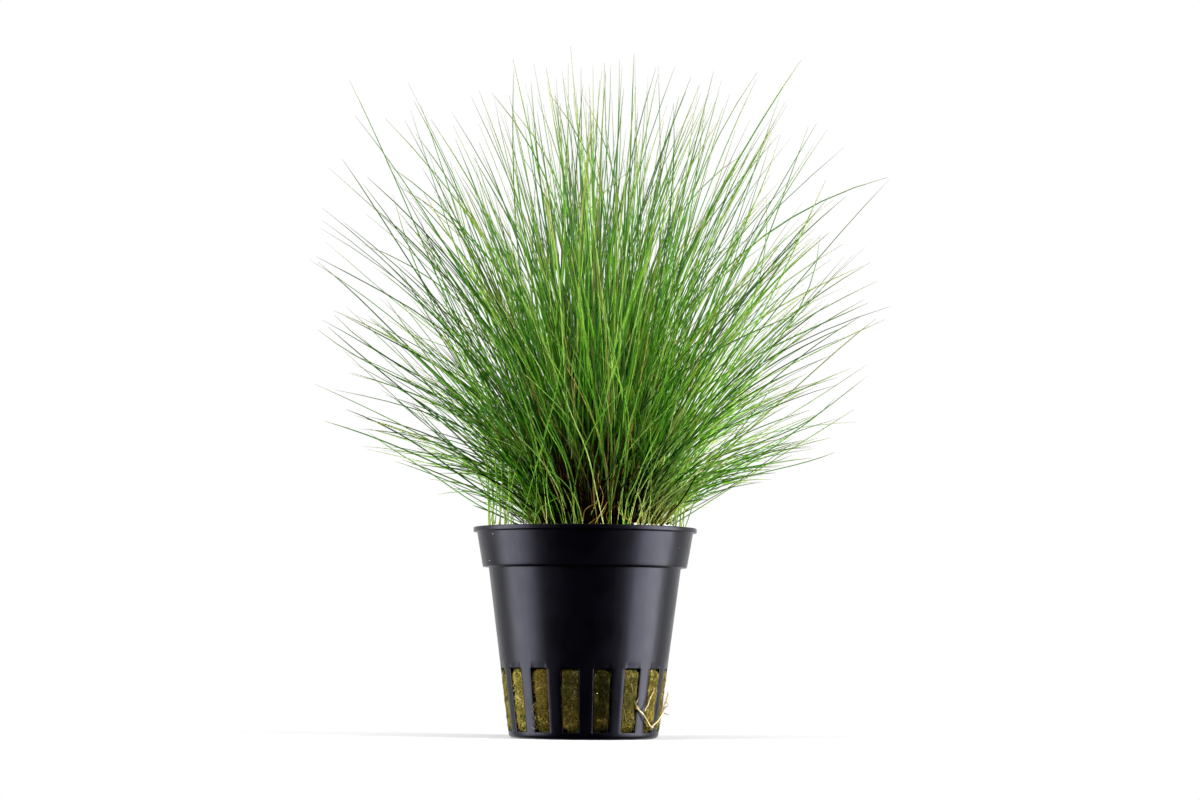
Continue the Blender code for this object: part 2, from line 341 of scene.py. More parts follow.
def wool_material():
    """Olive-brown mineral wool, stained green by algae, with dark soaked patches.

    soak_and_shade is how dark the wool is: soaked wool, and painted shade in the
    slots that face the camera and under each slot's top; rust is how brown.
    """
    s = Shader("mineral_wool")
    s.set(IOR=1.2, Specular_Tint=(1.0, 0.92, 0.55, 1.0))
    where = s.place()
    patch = s.noise(where, 260, 4, 0.6, 0.4)
    fine = s.noise(where, 3000, 3, 0.6, 0.3)
    colour = s.ramp(
        fine,
        [
            (0.34, (0.014, 0.010, 0.001)),
            (0.44, (0.090, 0.066, 0.005)),
            (0.54, (0.25, 0.195, 0.024)),
            (0.64, (0.62, 0.54, 0.180)),
        ],
    )
    stain = s.ramp(
        fine,
        [
            (0.34, (0.006, 0.007, 0.001)),
            (0.50, (0.075, 0.073, 0.007)),
            (0.64, (0.30, 0.29, 0.065)),
        ],
    )
    colour = s.mix(s.span(patch, 0.42, 0.62), colour, stain)
    brown = s.ramp(fine, [(0.34, (0.026, 0.011, 0.001)), (0.64, (0.38, 0.200, 0.018))])
    some = s.span(s.noise(where, 430, 3, 0.5), 0.52, 0.70, 0.0, 0.7)
    colour = s.mix(s.math("MAXIMUM", some, s.attribute("rust")), colour, brown)
    dark_patch = s.noise(where, 700, 3, 0.6)
    colour = s.mix(s.span(dark_patch, 0.58, 0.74, 0.0, 0.7), colour, (0.012, 0.010, 0.002))
    # soaked wool and painted shade: the wool in the slots that face the camera, away from the side lamps, and under
    # each slot's top goes near black, and its sheen is lowered there
    soak_and_shade = s.attribute("soak_and_shade")
    colour = s.mix(soak_and_shade, colour, (0.006, 0.006, 0.001))
    s.link(colour, s.bsdf.inputs["Base Color"])
    s.link(s.span(soak_and_shade, 0.4, 1.0, 0.5, 0.28), s.bsdf.inputs["Specular IOR Level"])
    s.link(s.span(fine, 0.3, 0.8, 0.75, 0.95), s.bsdf.inputs["Roughness"])
    s.bump(s.math("ADD", fine, s.math("MULTIPLY", patch, 0.5)), 0.7, 0.00028)
    return s.mat


def fibre_material():
    """Single wool fibres: straw to olive, glassy, with a few pale ones."""
    s = Shader("wool_fibre")
    s.set(IOR=1.24, Roughness=0.55, Specular_Tint=(1.0, 0.93, 0.60, 1.0))
    tone = s.attribute("tone")
    colour = s.ramp(
        tone,
        [
            (0.00, (0.040, 0.028, 0.003)),
            (0.35, (0.16, 0.120, 0.014)),
            (0.70, (0.34, 0.275, 0.045)),
            (0.93, (0.52, 0.46, 0.16)),
            (1.00, (0.75, 0.72, 0.55)),
        ],
    )
    green = s.noise(s.place(), 260, 4, 0.6, 0.4)
    colour = s.mix(
        s.span(green, 0.44, 0.62, 0.0, 0.7), colour, s.ramp(
            tone,
            [
                (0.0, (0.016, 0.018, 0.001)),
                (0.6, (0.120, 0.118, 0.012)),
                (1.0, (0.36, 0.36, 0.09)),
            ],
        ),
    )
    # soaked wool and painted shade, as on the wool of the same slot; the sheen is lowered there too
    soak_and_shade = s.attribute("soak_and_shade")
    colour = s.mix(soak_and_shade, colour, (0.008, 0.008, 0.001))
    s.link(colour, s.bsdf.inputs["Base Color"])
    s.link(s.span(soak_and_shade, 0.4, 1.0, 0.5, 0.28), s.bsdf.inputs["Specular IOR Level"])
    return s.mat


def leaf_material(name, greens, shine=0.32):
    """Thread-like leaves, coloured by leaf, by age and along their length.

    tone is a number per leaf, age is 0 alive, 0.5 straw and 1 brown, rise is
    the distance above the top of the leaf's sheath in metres, husk is the
    sheath's colour, crown_shade is 1 in the middle of the crown, where shade is
    painted into the colour, and along is the share of the leaf's length.
    """
    s = Shader(name)
    s.set(IOR=1.38, Specular_Tint=(0.95, 1.0, 0.78, 1.0))
    tone, age = s.attribute("tone"), s.attribute("age")
    rise, along = s.attribute("rise"), s.attribute("along")
    where = s.place()
    green = s.ramp(tone, greens)
    # slow change of colour along a leaf
    drift = s.noise(where, 60, 3, 0.6)
    pale = s.math("MULTIPLY", s.span(drift, 0.42, 0.68, 0.0, 0.40), s.span(tone, 0.15, 0.6, 0.15, 1.0))
    green = s.mix(pale, green, (0.150, 0.330, 0.008))
    # fine upright veins
    vein = s.noise(s.place((1.0, 1.0, 0.04)), 6200, 2, 0.5)
    green = s.mix(s.span(vein, 0.40, 0.70, 0.0, 0.35), green, (0.020, 0.090, 0.001))
    # deeper green towards the tip, high on the leaf: painted shade that dims the top of the tuft
    upper = s.math("MULTIPLY", s.span(along, 0.32, 0.85), s.span(rise, 0.025, 0.085, 0.0, 0.66))
    green = s.mix(upper, green, (0.022, 0.090, 0.002))
    # older tips go yellow, then brown
    tip = s.math("MULTIPLY", s.span(along, 0.86, 1.0), s.span(tone, 0.3, 0.9, 0.15, 1.0))
    green = s.mix(tip, green, (0.30, 0.27, 0.045))
    burnt = s.math("MULTIPLY", s.span(along, 0.965, 1.0), s.span(tone, 0.45, 0.55))
    green = s.mix(burnt, green, (0.10, 0.050, 0.015))
    # painted shade: darker green low on the leaf in the crowded middle of the crown
    deep = s.math("MULTIPLY", s.attribute("crown_shade"), s.span(rise, 0.0, 0.029, 0.92, 0.0))
    green = s.mix(deep, green, (0.005, 0.018, 0.0015))
    # the sheath at the foot: near black to red-brown in most leaves, pale in others; the near-black end paints the
    # shade of the crowded crown
    sheath = s.ramp(
        s.attribute("husk"),
        [
            (0.0, (0.005, 0.003, 0.002)),
            (0.35, (0.009, 0.0035, 0.0015)),
            (0.62, (0.075, 0.026, 0.007)),
            (0.80, (0.21, 0.14, 0.032)),
            (1.0, (0.49, 0.60, 0.16)),
        ],
    )
    fray = s.math("MULTIPLY", s.noise(where, 420, 2, 0.5), 0.006)
    reach = s.math("SUBTRACT", rise, fray)
    green = s.mix(s.span(reach, -0.005, 0.004, 1.0, 0.0), green, sheath)
    # dry leaves, straw or brown; the brown ones go near black, partly painted shade of the crown's dark core
    dry = s.noise(s.place((1.0, 1.0, 0.2)), 900, 3, 0.6)
    straw = s.ramp(dry, [(0.3, (0.21, 0.120, 0.020)), (0.7, (0.50, 0.39, 0.10))])
    brown = s.ramp(
        dry,
        [
            (0.30, (0.002, 0.001, 0.0006)),
            (0.60, (0.005, 0.0022, 0.001)),
            (0.78, (0.060, 0.023, 0.006)),
        ],
    )
    colour = s.mix(s.span(age, 0.1, 0.5), green, straw)
    colour = s.mix(s.span(age, 0.5, 1.0), colour, brown)
    # painted shade: near black low down at the wool, in the crowded crown
    height = s.node("ShaderNodeSeparateXYZ")
    s.link(where, height.inputs[0])
    dark_patch = s.math("MULTIPLY", s.attribute("crown_shade"), s.span(height.outputs["Z"], 0.052, 0.074, 0.92, 0.0))
    colour = s.mix(dark_patch, colour, (0.002, 0.0014, 0.0005))
    s.link(colour, s.bsdf.inputs["Base Color"])
    rough = s.math(
        "MAXIMUM",
        s.span(vein, 0.3, 0.7, shine - 0.05, shine + 0.12),
        s.math("MAXIMUM", s.span(reach, -0.005, 0.004, 0.8, 0.0), s.span(age, 0.1, 1.0, 0.0, 0.85)),
    )
    s.link(rough, s.bsdf.inputs["Roughness"])
    # sheaths and dead leaves are dull
    dull = s.math("MAXIMUM", s.span(reach, -0.005, 0.004, 1.0, 0.0), s.span(age, 0.3, 0.8))
    s.link(s.span(dull, 0.0, 1.0, 0.5, 0.05), s.bsdf.inputs["Specular IOR Level"])
    s.bump(vein, 0.25, 0.00004)
    return s.mat


def runner_material():
    """Dry straw-coloured runner in a thin split casing."""
    s = Shader("dry_runner")
    s.set(IOR=1.45)
    where = s.place()
    long = s.noise(where, 1700, 3, 0.6)
    colour = s.ramp(
        long,
        [
            (0.25, (0.16, 0.085, 0.022)),
            (0.42, (0.42, 0.30, 0.11)),
            (0.62, (0.72, 0.62, 0.33)),
            (0.85, (0.86, 0.80, 0.56)),
        ],
    )
    casing = s.noise(where, 620, 3, 0.6)
    colour = s.mix(s.span(casing, 0.56, 0.66, 0.0, 0.75), colour, (0.20, 0.095, 0.025))
    s.link(colour, s.bsdf.inputs["Base Color"])
    s.link(s.span(casing, 0.3, 0.7, 0.38, 0.60), s.bsdf.inputs["Roughness"])
    s.bump(long, 0.5, 0.0001)
    return s.mat


def grain_material():
    """Crumbs of substrate: chalk white to grey, and some ochre."""
    s = Shader("substrate_grain")
    s.set(IOR=1.45)
    tone = s.attribute("tone")
    colour = s.ramp(
        tone,
        [
            (0.0, (0.10, 0.075, 0.03)),
            (0.25, (0.36, 0.26, 0.10)),
            (0.5, (0.45, 0.43, 0.38)),
            (1.0, (0.82, 0.81, 0.77)),
        ],
    )
    fine = s.noise(s.place(), 5000, 3, 0.6)
    colour = s.mix(s.span(fine, 0.35, 0.7, 0.0, 0.35), colour, (0.12, 0.10, 0.07))
    s.link(colour, s.bsdf.inputs["Base Color"])
    s.link(s.span(fine, 0.3, 0.7, 0.6, 0.9), s.bsdf.inputs["Roughness"])
    s.bump(fine, 0.6, 0.0001)
    return s.mat


LIVE = [
    (0.00, (0.007, 0.056, 0.0005)),
    (0.30, (0.023, 0.135, 0.001)),
    (0.65, (0.080, 0.310, 0.007)),
    (0.87, (0.215, 0.510, 0.034)),
    (1.00, (0.490, 0.700, 0.180)),
]
YOUNG = [
    (0.00, (0.080, 0.250, 0.012)),
    (0.50, (0.150, 0.380, 0.025)),
    (1.00, (0.320, 0.540, 0.080)),
]

PLASTIC = plastic_material()
WOOL = wool_material()
FIBRE = fibre_material()
LEAF = leaf_material("hairgrass_leaf", LIVE, 0.27)
SHOOT = leaf_material("hairgrass_shoot", YOUNG, 0.36)
RUNNER = runner_material()
GRAIN = grain_material()

# ===================================================================== pot


def body_radius(z):
    share = (z - BODY_FOOT_Z) / (COLLAR_FOOT_Z - BODY_FOOT_Z)
    return BODY_FOOT_RADIUS + (BODY_TOP_RADIUS - BODY_FOOT_RADIUS) * share


def slot_half(z):
    share = (z - SLOT_FOOT_Z) / (SLOT_TOP_Z - SLOT_FOOT_Z)
    return SLOT_FOOT_HALF + (SLOT_TOP_HALF - SLOT_FOOT_HALF) * min(max(share, 0.0), 1.0)


def make_pot():
    edge = 0.32  # rounding of the slots' outer edges
    # rows from the middle of the underside up to the lip: outer r, z, inner r, z
    rows = [(1.5, 0.0, 1.5, FLOOR), (3.6, 0.0, 3.6, FLOOR)]
    drain_rows = []
    for r in (DRAIN_INNER, 8.0, 10.0, 12.0, DRAIN_OUTER):
        drain_rows.append(len(rows))
        rows.append((r, 0.0, r, FLOOR))
    rows += [
        (15.6, 0.0, 15.4, FLOOR),
        (17.0, 0.0, 16.6, FLOOR),
        (17.35, 0.02, 16.85, FLOOR),
        (17.7, 0.10, 17.1, FLOOR),
        (18.0, 0.28, 17.3, FLOOR),
        (18.22, 0.55, 17.45, FLOOR + 0.02),
        (18.34, 0.90, 17.56, FLOOR + 0.08),
    ]

    def body(z):
        return (body_radius(z), z, body_radius(max(z, FLOOR)) - WALL, max(z, FLOOR + 0.1))

    rows += [body(z) for z in (1.3, SLOT_FOOT_Z - edge, SLOT_FOOT_Z - 0.14, SLOT_FOOT_Z - 0.04)]
    first_slot_row = len(rows)
    rows += [body(z) for z in np.linspace(SLOT_FOOT_Z, SLOT_TOP_Z, 19)]
    last_slot_row = len(rows) - 1
    above = [0.04, 0.14, edge, 0.5, 0.7, 0.9, 1.1, 1.3, 1.5, 1.75, 2.0, 2.3, 2.7]
    rows += [body(SLOT_TOP_Z + a) for a in above]
    rows += [body(z) for z in np.linspace(SLOT_TOP_Z + 4.2, COLLAR_FOOT_Z - 0.8, 14)]
    inner_step = COLLAR_FOOT_Z + WALL
    top_in = body_radius(inner_step) - WALL
    cf, ct = COLLAR_FOOT_RADIUS, COLLAR_TOP_RADIUS
    rows += [
        (body_radius(41.25), 41.25, body_radius(41.25) - WALL, 41.25),
        (body_radius(41.45) + 0.02, 41.45, top_in - 0.05, 41.9),
        (BODY_TOP_RADIUS + 0.08, 41.57, top_in, 42.25),
        (BODY_TOP_RADIUS + 0.22, COLLAR_FOOT_Z, top_in + 0.06, 42.40),
        (BODY_TOP_RADIUS + 0.75, COLLAR_FOOT_Z, top_in + 0.30, inner_step),
        (cf - 0.28, COLLAR_FOOT_Z, cf - WALL - 0.30, inner_step),
        (cf - 0.12, COLLAR_FOOT_Z + 0.03, cf - WALL - 0.12, inner_step + 0.03),
        (cf - 0.03, COLLAR_FOOT_Z + 0.12, cf - WALL - 0.03, inner_step + 0.12),
        (cf + 0.02, COLLAR_FOOT_Z + 0.28, cf - WALL + 0.04, inner_step + 0.28),
    ]
    for share in np.linspace(0.08, 0.97, 12):
        z = COLLAR_FOOT_Z + 8.6 * share
        r = cf + (ct - cf) * share
        rows.append((r, z, r - WALL, max(z, inner_step + 0.3 + 0.4 * share)))
    lip, top = LIP_RADIUS, POT_HEIGHT
    rows += [
        (ct - 0.02, 50.10, ct - WALL, 50.15),
        (ct + 0.03, 50.20, ct - WALL, 50.35),
        (ct + 0.14, 50.25, ct - WALL, 50.55),
        (lip - 0.22, 50.25, ct - WALL, 50.75),
        (lip - 0.09, 50.28, ct - WALL, 50.90),
        (lip - 0.02, 50.36, ct - WALL, 51.00),
        (lip, 50.50, ct - WALL, 51.08),
        (lip, 51.10, ct - WALL + 0.01, 51.16),
        (lip - 0.03, 51.25, ct - WALL + 0.04, 51.26),
        (lip - 0.11, 51.36, ct - WALL + 0.11, 51.34),
        (lip - 0.26, top, ct - WALL + 0.22, 51.39),
        (lip - 0.60, top, ct - WALL + 0.40, top),
    ]
    rows = np.array(rows)
    count = len(rows)

    # columns: 7 cells across a slot and 10 across the rib after it
    pitch = 360.0 / SLOT_COUNT
    across = (-1.0, -0.85, -0.6, -0.2, 0.2, 0.6, 0.85, 1.0)
    beyond = (0.04, 0.14, edge)
    per = 17
    columns = per * SLOT_COUNT
    slot_cell = np.zeros(columns, bool)
    for i in range(SLOT_COUNT):
        slot_cell[i * per : i * per + 7] = True

    def wall_columns(r, z):
        half = slot_half(z)
        angles, lateral = [], []
        for i in range(SLOT_COUNT):
            middle = -90.0 + SLOT_PHASE + pitch * (i + 0.5)
            offsets = [a * half for a in across] + [half + d for d in beyond]
            at = [math.degrees(math.asin(o / r)) for o in offsets]
            gap = pitch - at[-1] * 2
            at += [at[10] + gap * s for s in (0.25, 0.5, 0.75)]
            back = [pitch - math.degrees(math.asin((half + d) / r)) for d in beyond[::-1]]
            at += back
            lateral += [abs(o) - half for o in offsets]
            lateral += [9.0, 9.0, 9.0] + list(beyond[::-1])
            angles += [middle + a for a in at]
        return np.array(angles), np.array(lateral)

    def drain_columns(r):
        angles = []
        reach = math.degrees(math.asin(DRAIN_HALF / r))
        for i in range(DRAIN_COUNT):
            middle = 45.0 * (i + 0.5)
            angles += [middle + reach * s for s in np.linspace(-1, 1, 9)]
            rest = np.linspace(middle + reach, middle + 45.0 - reach, 27)[1:-1]
            angles += list(rest)
        return np.array(angles)

    wall_foot, _ = wall_columns(17.0, 0.0)
    twice = drain_columns(DRAIN_OUTER)
    twice = np.concatenate([twice, twice + 360.0, twice + 720.0])
    best, shift = None, 0
    for k in range(len(twice) - columns):
        off = (twice[k : k + columns] - 360.0 - wall_foot).mean()
        if best is None or abs(off) < best:
            best, shift = abs(off), k
    cell = np.zeros(34, bool)
    cell[:8] = True
    drain_cell = np.roll(np.tile(cell, DRAIN_COUNT), -(shift % columns))

    outer = np.zeros((count, columns, 3))
    inner = np.zeros((count, columns, 3))
    for n, (ro, zo, ri, zi) in enumerate(rows):
        if n <= drain_rows[-1]:
            a = drain_columns(max(ro, DRAIN_INNER))
            a = np.concatenate([a, a + 360.0, a + 720.0])[shift : shift + columns] - 360.0
            lateral = np.full(columns, 9.0)
        else:
            a, lateral = wall_columns(max(ro, 17.0), zo)
            if ro < 17.0 and zo == 0.0:
                flat = drain_columns(DRAIN_OUTER)
                flat = np.concatenate([flat, flat + 360.0, flat + 720.0])
                flat = flat[shift : shift + columns] - 360.0
                a = 0.5 * a + 0.5 * flat
        a = np.radians(a)
        r_out = np.full(columns, ro)
        # rounded outer edge of the slots
        up = max(zo - SLOT_TOP_Z, SLOT_FOOT_Z - zo, 0.0)
        if up < edge and zo > 1.3:
            side = np.maximum(lateral, 0.0)
            d = np.hypot(side, up) if up > 0 else side
            d = np.clip(d, 0, edge)
            sink = edge - np.sqrt(np.maximum(edge**2 - (edge - d) ** 2, 0.0))
            r_out -= np.where(lateral < 1.0, sink, 0.0)
        # shallow scoop that runs out above each slot
        if SLOT_TOP_Z <= zo < SLOT_TOP_Z + 2.4:
            fade = 1.0 - smooth_step(np.array((zo - SLOT_TOP_Z) / 2.3))
            inside = 1.0 - smooth_step((lateral + 0.25) / 0.3)
            r_out -= 0.12 * fade * inside
        outer[n] = np.stack([r_out * np.cos(a), r_out * np.sin(a), np.full(columns, zo)], 1)
        inner[n] = np.stack(
            [ri * np.cos(a), ri * np.sin(a), np.full(columns, zi)], 1
        )

    verts = np.concatenate(
        [outer.reshape(-1, 3), inner.reshape(-1, 3), [[0, 0, 0], [0, 0, FLOOR]]]
    )
    size = count * columns
    hole = np.zeros((count - 1, columns), bool)
    hole[first_slot_row:last_slot_row] |= slot_cell[None]
    hole[drain_rows[0] : drain_rows[-1]] |= drain_cell[None]

    def at(n, c, skin):
        return skin * size + n * columns + (c % columns)

    n, c = np.meshgrid(np.arange(count - 1), np.arange(columns), indexing="ij")
    keep = ~hole
    n, c = n[keep], c[keep]
    quads = [
        np.stack([at(n, c, 0), at(n, c + 1, 0), at(n + 1, c + 1, 0), at(n + 1, c, 0)], 1),
        np.stack([at(n, c, 1), at(n + 1, c, 1), at(n + 1, c + 1, 1), at(n, c + 1, 1)], 1),
    ]
    # lip's top
    c = np.arange(columns)
    last = count - 1
    quads.append(
        np.stack([at(last, c, 0), at(last, c + 1, 0), at(last, c + 1, 1), at(last, c, 1)], 1)
    )
    # walls of the slots and drains
    for rr, cc in zip(*np.nonzero(hole)):
        if not hole[rr, (cc - 1) % columns]:
            quads.append([[at(rr, cc, 0), at(rr + 1, cc, 0), at(rr + 1, cc, 1), at(rr, cc, 1)]])
        if not hole[rr, (cc + 1) % columns]:
            d = cc + 1
            quads.append([[at(rr, d, 0), at(rr, d, 1), at(rr + 1, d, 1), at(rr + 1, d, 0)]])
        if not hole[rr - 1, cc]:
            quads.append([[at(rr, cc, 0), at(rr, cc, 1), at(rr, cc + 1, 1), at(rr, cc + 1, 0)]])
        if not hole[rr + 1, cc]:
            e = rr + 1
            quads.append([[at(e, cc, 0), at(e, cc + 1, 0), at(e, cc + 1, 1), at(e, cc, 1)]])
    quads = np.concatenate([np.asarray(q) for q in quads])
    low, high = 2 * size, 2 * size + 1
    tris = np.concatenate(
        [
            np.stack([np.full(columns, low), at(0, c + 1, 0), at(0, c, 0)], 1),
            np.stack([np.full(columns, high), at(0, c, 1), at(0, c + 1, 1)], 1),
        ]
    )
    pot = mesh_object("net_pot", verts * MM, quads, tris, [PLASTIC], sharp=50)
    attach(pot, "root")
    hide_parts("pot")
    return pot


# ==================================================================== wool


def plug_radius(z):
    """Side of the wool at a height, in mm."""
    z = np.asarray(z, float)
    wall = BODY_FOOT_RADIUS + (BODY_TOP_RADIUS - BODY_FOOT_RADIUS) * (
        (z - BODY_FOOT_Z) / (COLLAR_FOOT_Z - BODY_FOOT_Z)
    )
    collar = COLLAR_FOOT_RADIUS + (COLLAR_TOP_RADIUS - COLLAR_FOOT_RADIUS) * (
        (z - COLLAR_FOOT_Z) / 8.6
    )
    return np.where(z < 42.8, wall - WALL - 0.33, collar - WALL - 0.33)


# for each slot, from the one right of the front round to the right: how dark
# the wool in it is at the top and the foot (soaked wool, and painted shade on the slots that face the camera, away
# from the side lamps), how rusty at the top and the foot,
# and how far it has shrunk from the slot's left edge (right, if negative), in mm
SLOT_WOOL = (
    (1.00, 0.97, 0.1, 0.6, 0.0), (0.56, 0.52, 0.0, 0.3, -0.2), (0.20, 0.16, 0.0, 0.2, 0.25),
    (0.1, 0.0, 0.3, 0.0, 0.3), (0.3, 0.5, 0.0, 0.3, 0.0), (0.0, 0.2, 0.4, 0.0, -0.4),
    (0.2, 0.0, 0.0, 0.3, 0.2), (0.5, 0.1, 0.0, 0.0, 0.0), (0.1, 0.3, 0.3, 0.1, 0.4),
    (0.0, 0.1, 0.0, 0.4, 0.0), (0.4, 0.2, 0.1, 0.0, -0.3), (0.1, 0.0, 0.0, 0.2, 0.0),
    (0.2, 0.1, 0.2, 0.0, 0.3), (0.10, 0.10, 0.0, 0.1, 0.5), (0.58, 0.64, 0.95, 0.3, 0.45),
    (0.84, 0.76, 0.0, 0.6, 0.10),
)


def slot_wool(azimuth, z, column):
    """A pair of columns of SLOT_WOOL, between the slot's top and foot."""
    table = np.array(SLOT_WOOL)
    n = ((azimuth - (-90.0 + SLOT_PHASE)) % 360.0 // (360.0 / SLOT_COUNT)).astype(int) % SLOT_COUNT
    share = smooth_step((z - 4.0) / 9.0)
    return table[n, column + 1] * (1 - share) + table[n, column] * share


def slot_share(azimuth, z):
    """1 in the middle of a slot, 0 at its edges and on the ribs."""
    pitch = 360.0 / SLOT_COUNT
    off = (azimuth - (-90.0 + SLOT_PHASE)) % pitch - pitch / 2
    n = ((azimuth - (-90.0 + SLOT_PHASE)) % 360.0 // pitch).astype(int) % SLOT_COUNT
    off = off - np.degrees(np.array(SLOT_WOOL)[n, 4] / plug_radius(z))
    half = SLOT_FOOT_HALF + (SLOT_TOP_HALF - SLOT_FOOT_HALF) * np.clip(
        (z - SLOT_FOOT_Z) / (SLOT_TOP_Z - SLOT_FOOT_Z), 0, 1
    )
    lateral = np.abs(np.radians(off)) * plug_radius(z)
    side = 1 - smooth_step((lateral - half * 0.88) / (half * 0.16))
    up = smooth_step((z - SLOT_FOOT_Z - 0.1) / 1.2) * (
        1 - smooth_step((z - SLOT_TOP_Z + 1.1) / 1.1)
    )
    return side * up


def make_wool():
    columns = 400
    a = np.arange(columns) * 360.0 / columns
    rows = [(0.6, 1.3), (6.0, 1.3), (12.0, 1.3), (15.5, 1.3), (16.6, 1.3)]
    rows += [(float(plug_radius(z)), z) for z in np.linspace(1.35, 18.6, 62)]
    rows += [(float(plug_radius(z)), z) for z in np.linspace(19.6, 42.6, 12)]
    rows += [(22.6, 42.85), (23.4, 42.9)]
    rows += [(float(plug_radius(z)) + 0.25, z) for z in (43.2, 45.0, 46.5, 47.8)]
    rows += [(24.9, 48.6), (24.5, 49.2), (23.9, 49.6), (23.2, 49.85), (22.4, 50.0)]
    rows += [(r, 50.0) for r in np.linspace(21.6, 0.8, 30)]
    rows = np.array(rows)
    count = len(rows)
    grid = np.zeros((count, columns, 3))
    ca, sa = np.cos(np.radians(a)), np.sin(np.radians(a))
    grid[:, :, 0] = rows[:, :1] * ca
    grid[:, :, 1] = rows[:, :1] * sa
    grid[:, :, 2] = rows[:, 1:]
    flat = grid.reshape(-1, 3)
    radial = unit(flat * [1, 1, 0])
    z = flat[:, 2]
    azimuth = np.degrees(np.arctan2(flat[:, 1], flat[:, 0]))
    coarse = waves(flat, 0.22, 3, 3)
    stringy = waves(flat, 0.8, 5, 3, 0.75)
    side = (z > 1.34) & (z < 42.0)
    bulge = slot_share(azimuth, z) * side
    out = np.where(
        side,
        bulge * (1.0 + 0.16 * coarse + 0.09 * stringy) - (1 - bulge) * 0.05
        + 0.05 * stringy,
        0.0,
    )
    # the wool shrinks from the wall beside some slots
    shrink = np.clip(waves(flat, 0.045, 9, 2) - 0.1, 0, 1)
    out -= np.where(side, (1 - bulge) * shrink * 0.5, 0.0)
    out = np.minimum(out, np.where(side, 0.30 + bulge * 0.90, 0.3))
    flat += radial * out[:, None]
    # the top is an uneven, fibrous mat
    top = z > 49.9
    r = np.hypot(flat[:, 0], flat[:, 1])
    mat = 0.28 * coarse + 0.16 * stringy - 0.1
    flat[:, 2] += np.where(top, mat * smooth_step((25.0 - r) / 3.0), 0.0)
    verts = np.concatenate([flat, [[0, 0, 1.3], [0, 0, 50.0]]])

    def at(n, c):
        return n * columns + (c % columns)

    n, c = np.meshgrid(np.arange(count - 1), np.arange(columns), indexing="ij")
    n, c = n.ravel(), c.ravel()
    quads = np.stack([at(n, c), at(n, c + 1), at(n + 1, c + 1), at(n + 1, c)], 1)
    c = np.arange(columns)
    tris = np.concatenate(
        [
            np.stack([np.full(columns, count * columns), at(0, c + 1), at(0, c)], 1),
            np.stack(
                [np.full(columns, count * columns + 1), at(count - 1, c), at(count - 1, c + 1)],
                1,
            ),
        ]
    )
    azimuth = np.degrees(np.arctan2(verts[:, 1], verts[:, 0]))
    low_part = verts[:, 2] < 25.0
    patchy = np.clip(0.92 + 0.30 * waves(verts, 0.35, 31, 2), 0, 1.1)
    # how dark the wool is: soaked wool, and painted shade on the slots that face the camera
    soak_and_shade = np.where(low_part, slot_wool(azimuth, verts[:, 2], 0) * patchy, 0.0)
    # painted shade close under the top of each slot
    soak_and_shade = np.maximum(soak_and_shade, np.where(low_part, 0.7 * smooth_step((verts[:, 2] - 16.1) / 0.8), 0))
    rust = np.where(low_part, slot_wool(azimuth, verts[:, 2], 2) * patchy, 0.0)
    wool = mesh_object(
        "wool_plug", verts * MM, quads, tris, [WOOL], None,
        {"soak_and_shade": np.clip(soak_and_shade, 0, 0.95), "rust": np.clip(rust, 0, 0.9)},
    )
    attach(wool, "root")
    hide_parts("rockwool_plug")
    return wool


def fibre_paths(start, way, outward, length, lift, steps, rng):
    """Short arcs that leave the wool, rise by lift and go back to it."""
    t = np.linspace(0, 1, steps)[None, :, None]
    curl = unit(np.cross(way, outward)) * rng.normal(0, 0.38, (len(start), 1))
    return (
        start[:, None, :]
        + way[:, None, :] * length[:, None, None] * t
        + outward[:, None, :] * (lift[:, None, None] * 4 * t * (1 - t))
        + curl[:, None, :] * length[:, None, None] * (t * t)
    )


def fibre_piece(name, starts, ways, outs, lengths, lifts, rng):
    starts, ways, outs = np.concatenate(starts), np.concatenate(ways), np.concatenate(outs)
    lengths, lifts = np.concatenate(lengths), np.concatenate(lifts)
    paths = fibre_paths(starts, ways, outs, lengths, lifts, 4, rng)
    # single fibres, and some strands of several
    strand = rng.random(len(paths)) < 0.4
    thick = np.where(strand, rng.uniform(0.050, 0.085, len(paths)), rng.uniform(0.018, 0.045, len(paths)))
    radii = thick[:, None] * np.array([0.7, 1.0, 1.0, 0.5])[None]
    verts, quads, tris, uv, which, where = tubes(paths, radii, 3, rng)
    tone = rng.beta(1.3, 1.6, len(paths))
    azimuth = np.degrees(np.arctan2(verts[:, 1], verts[:, 0]))
    # soaked wool and painted shade of the fibre's slot
    soak_and_shade = np.where(verts[:, 2] < 25.0, slot_wool(azimuth, verts[:, 2], 0), 0.0)
    obj = mesh_object(
        name, verts * MM, quads, tris, [FIBRE], uv, {"tone": tone[which], "soak_and_shade": soak_and_shade}
    )
    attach(obj, "root")


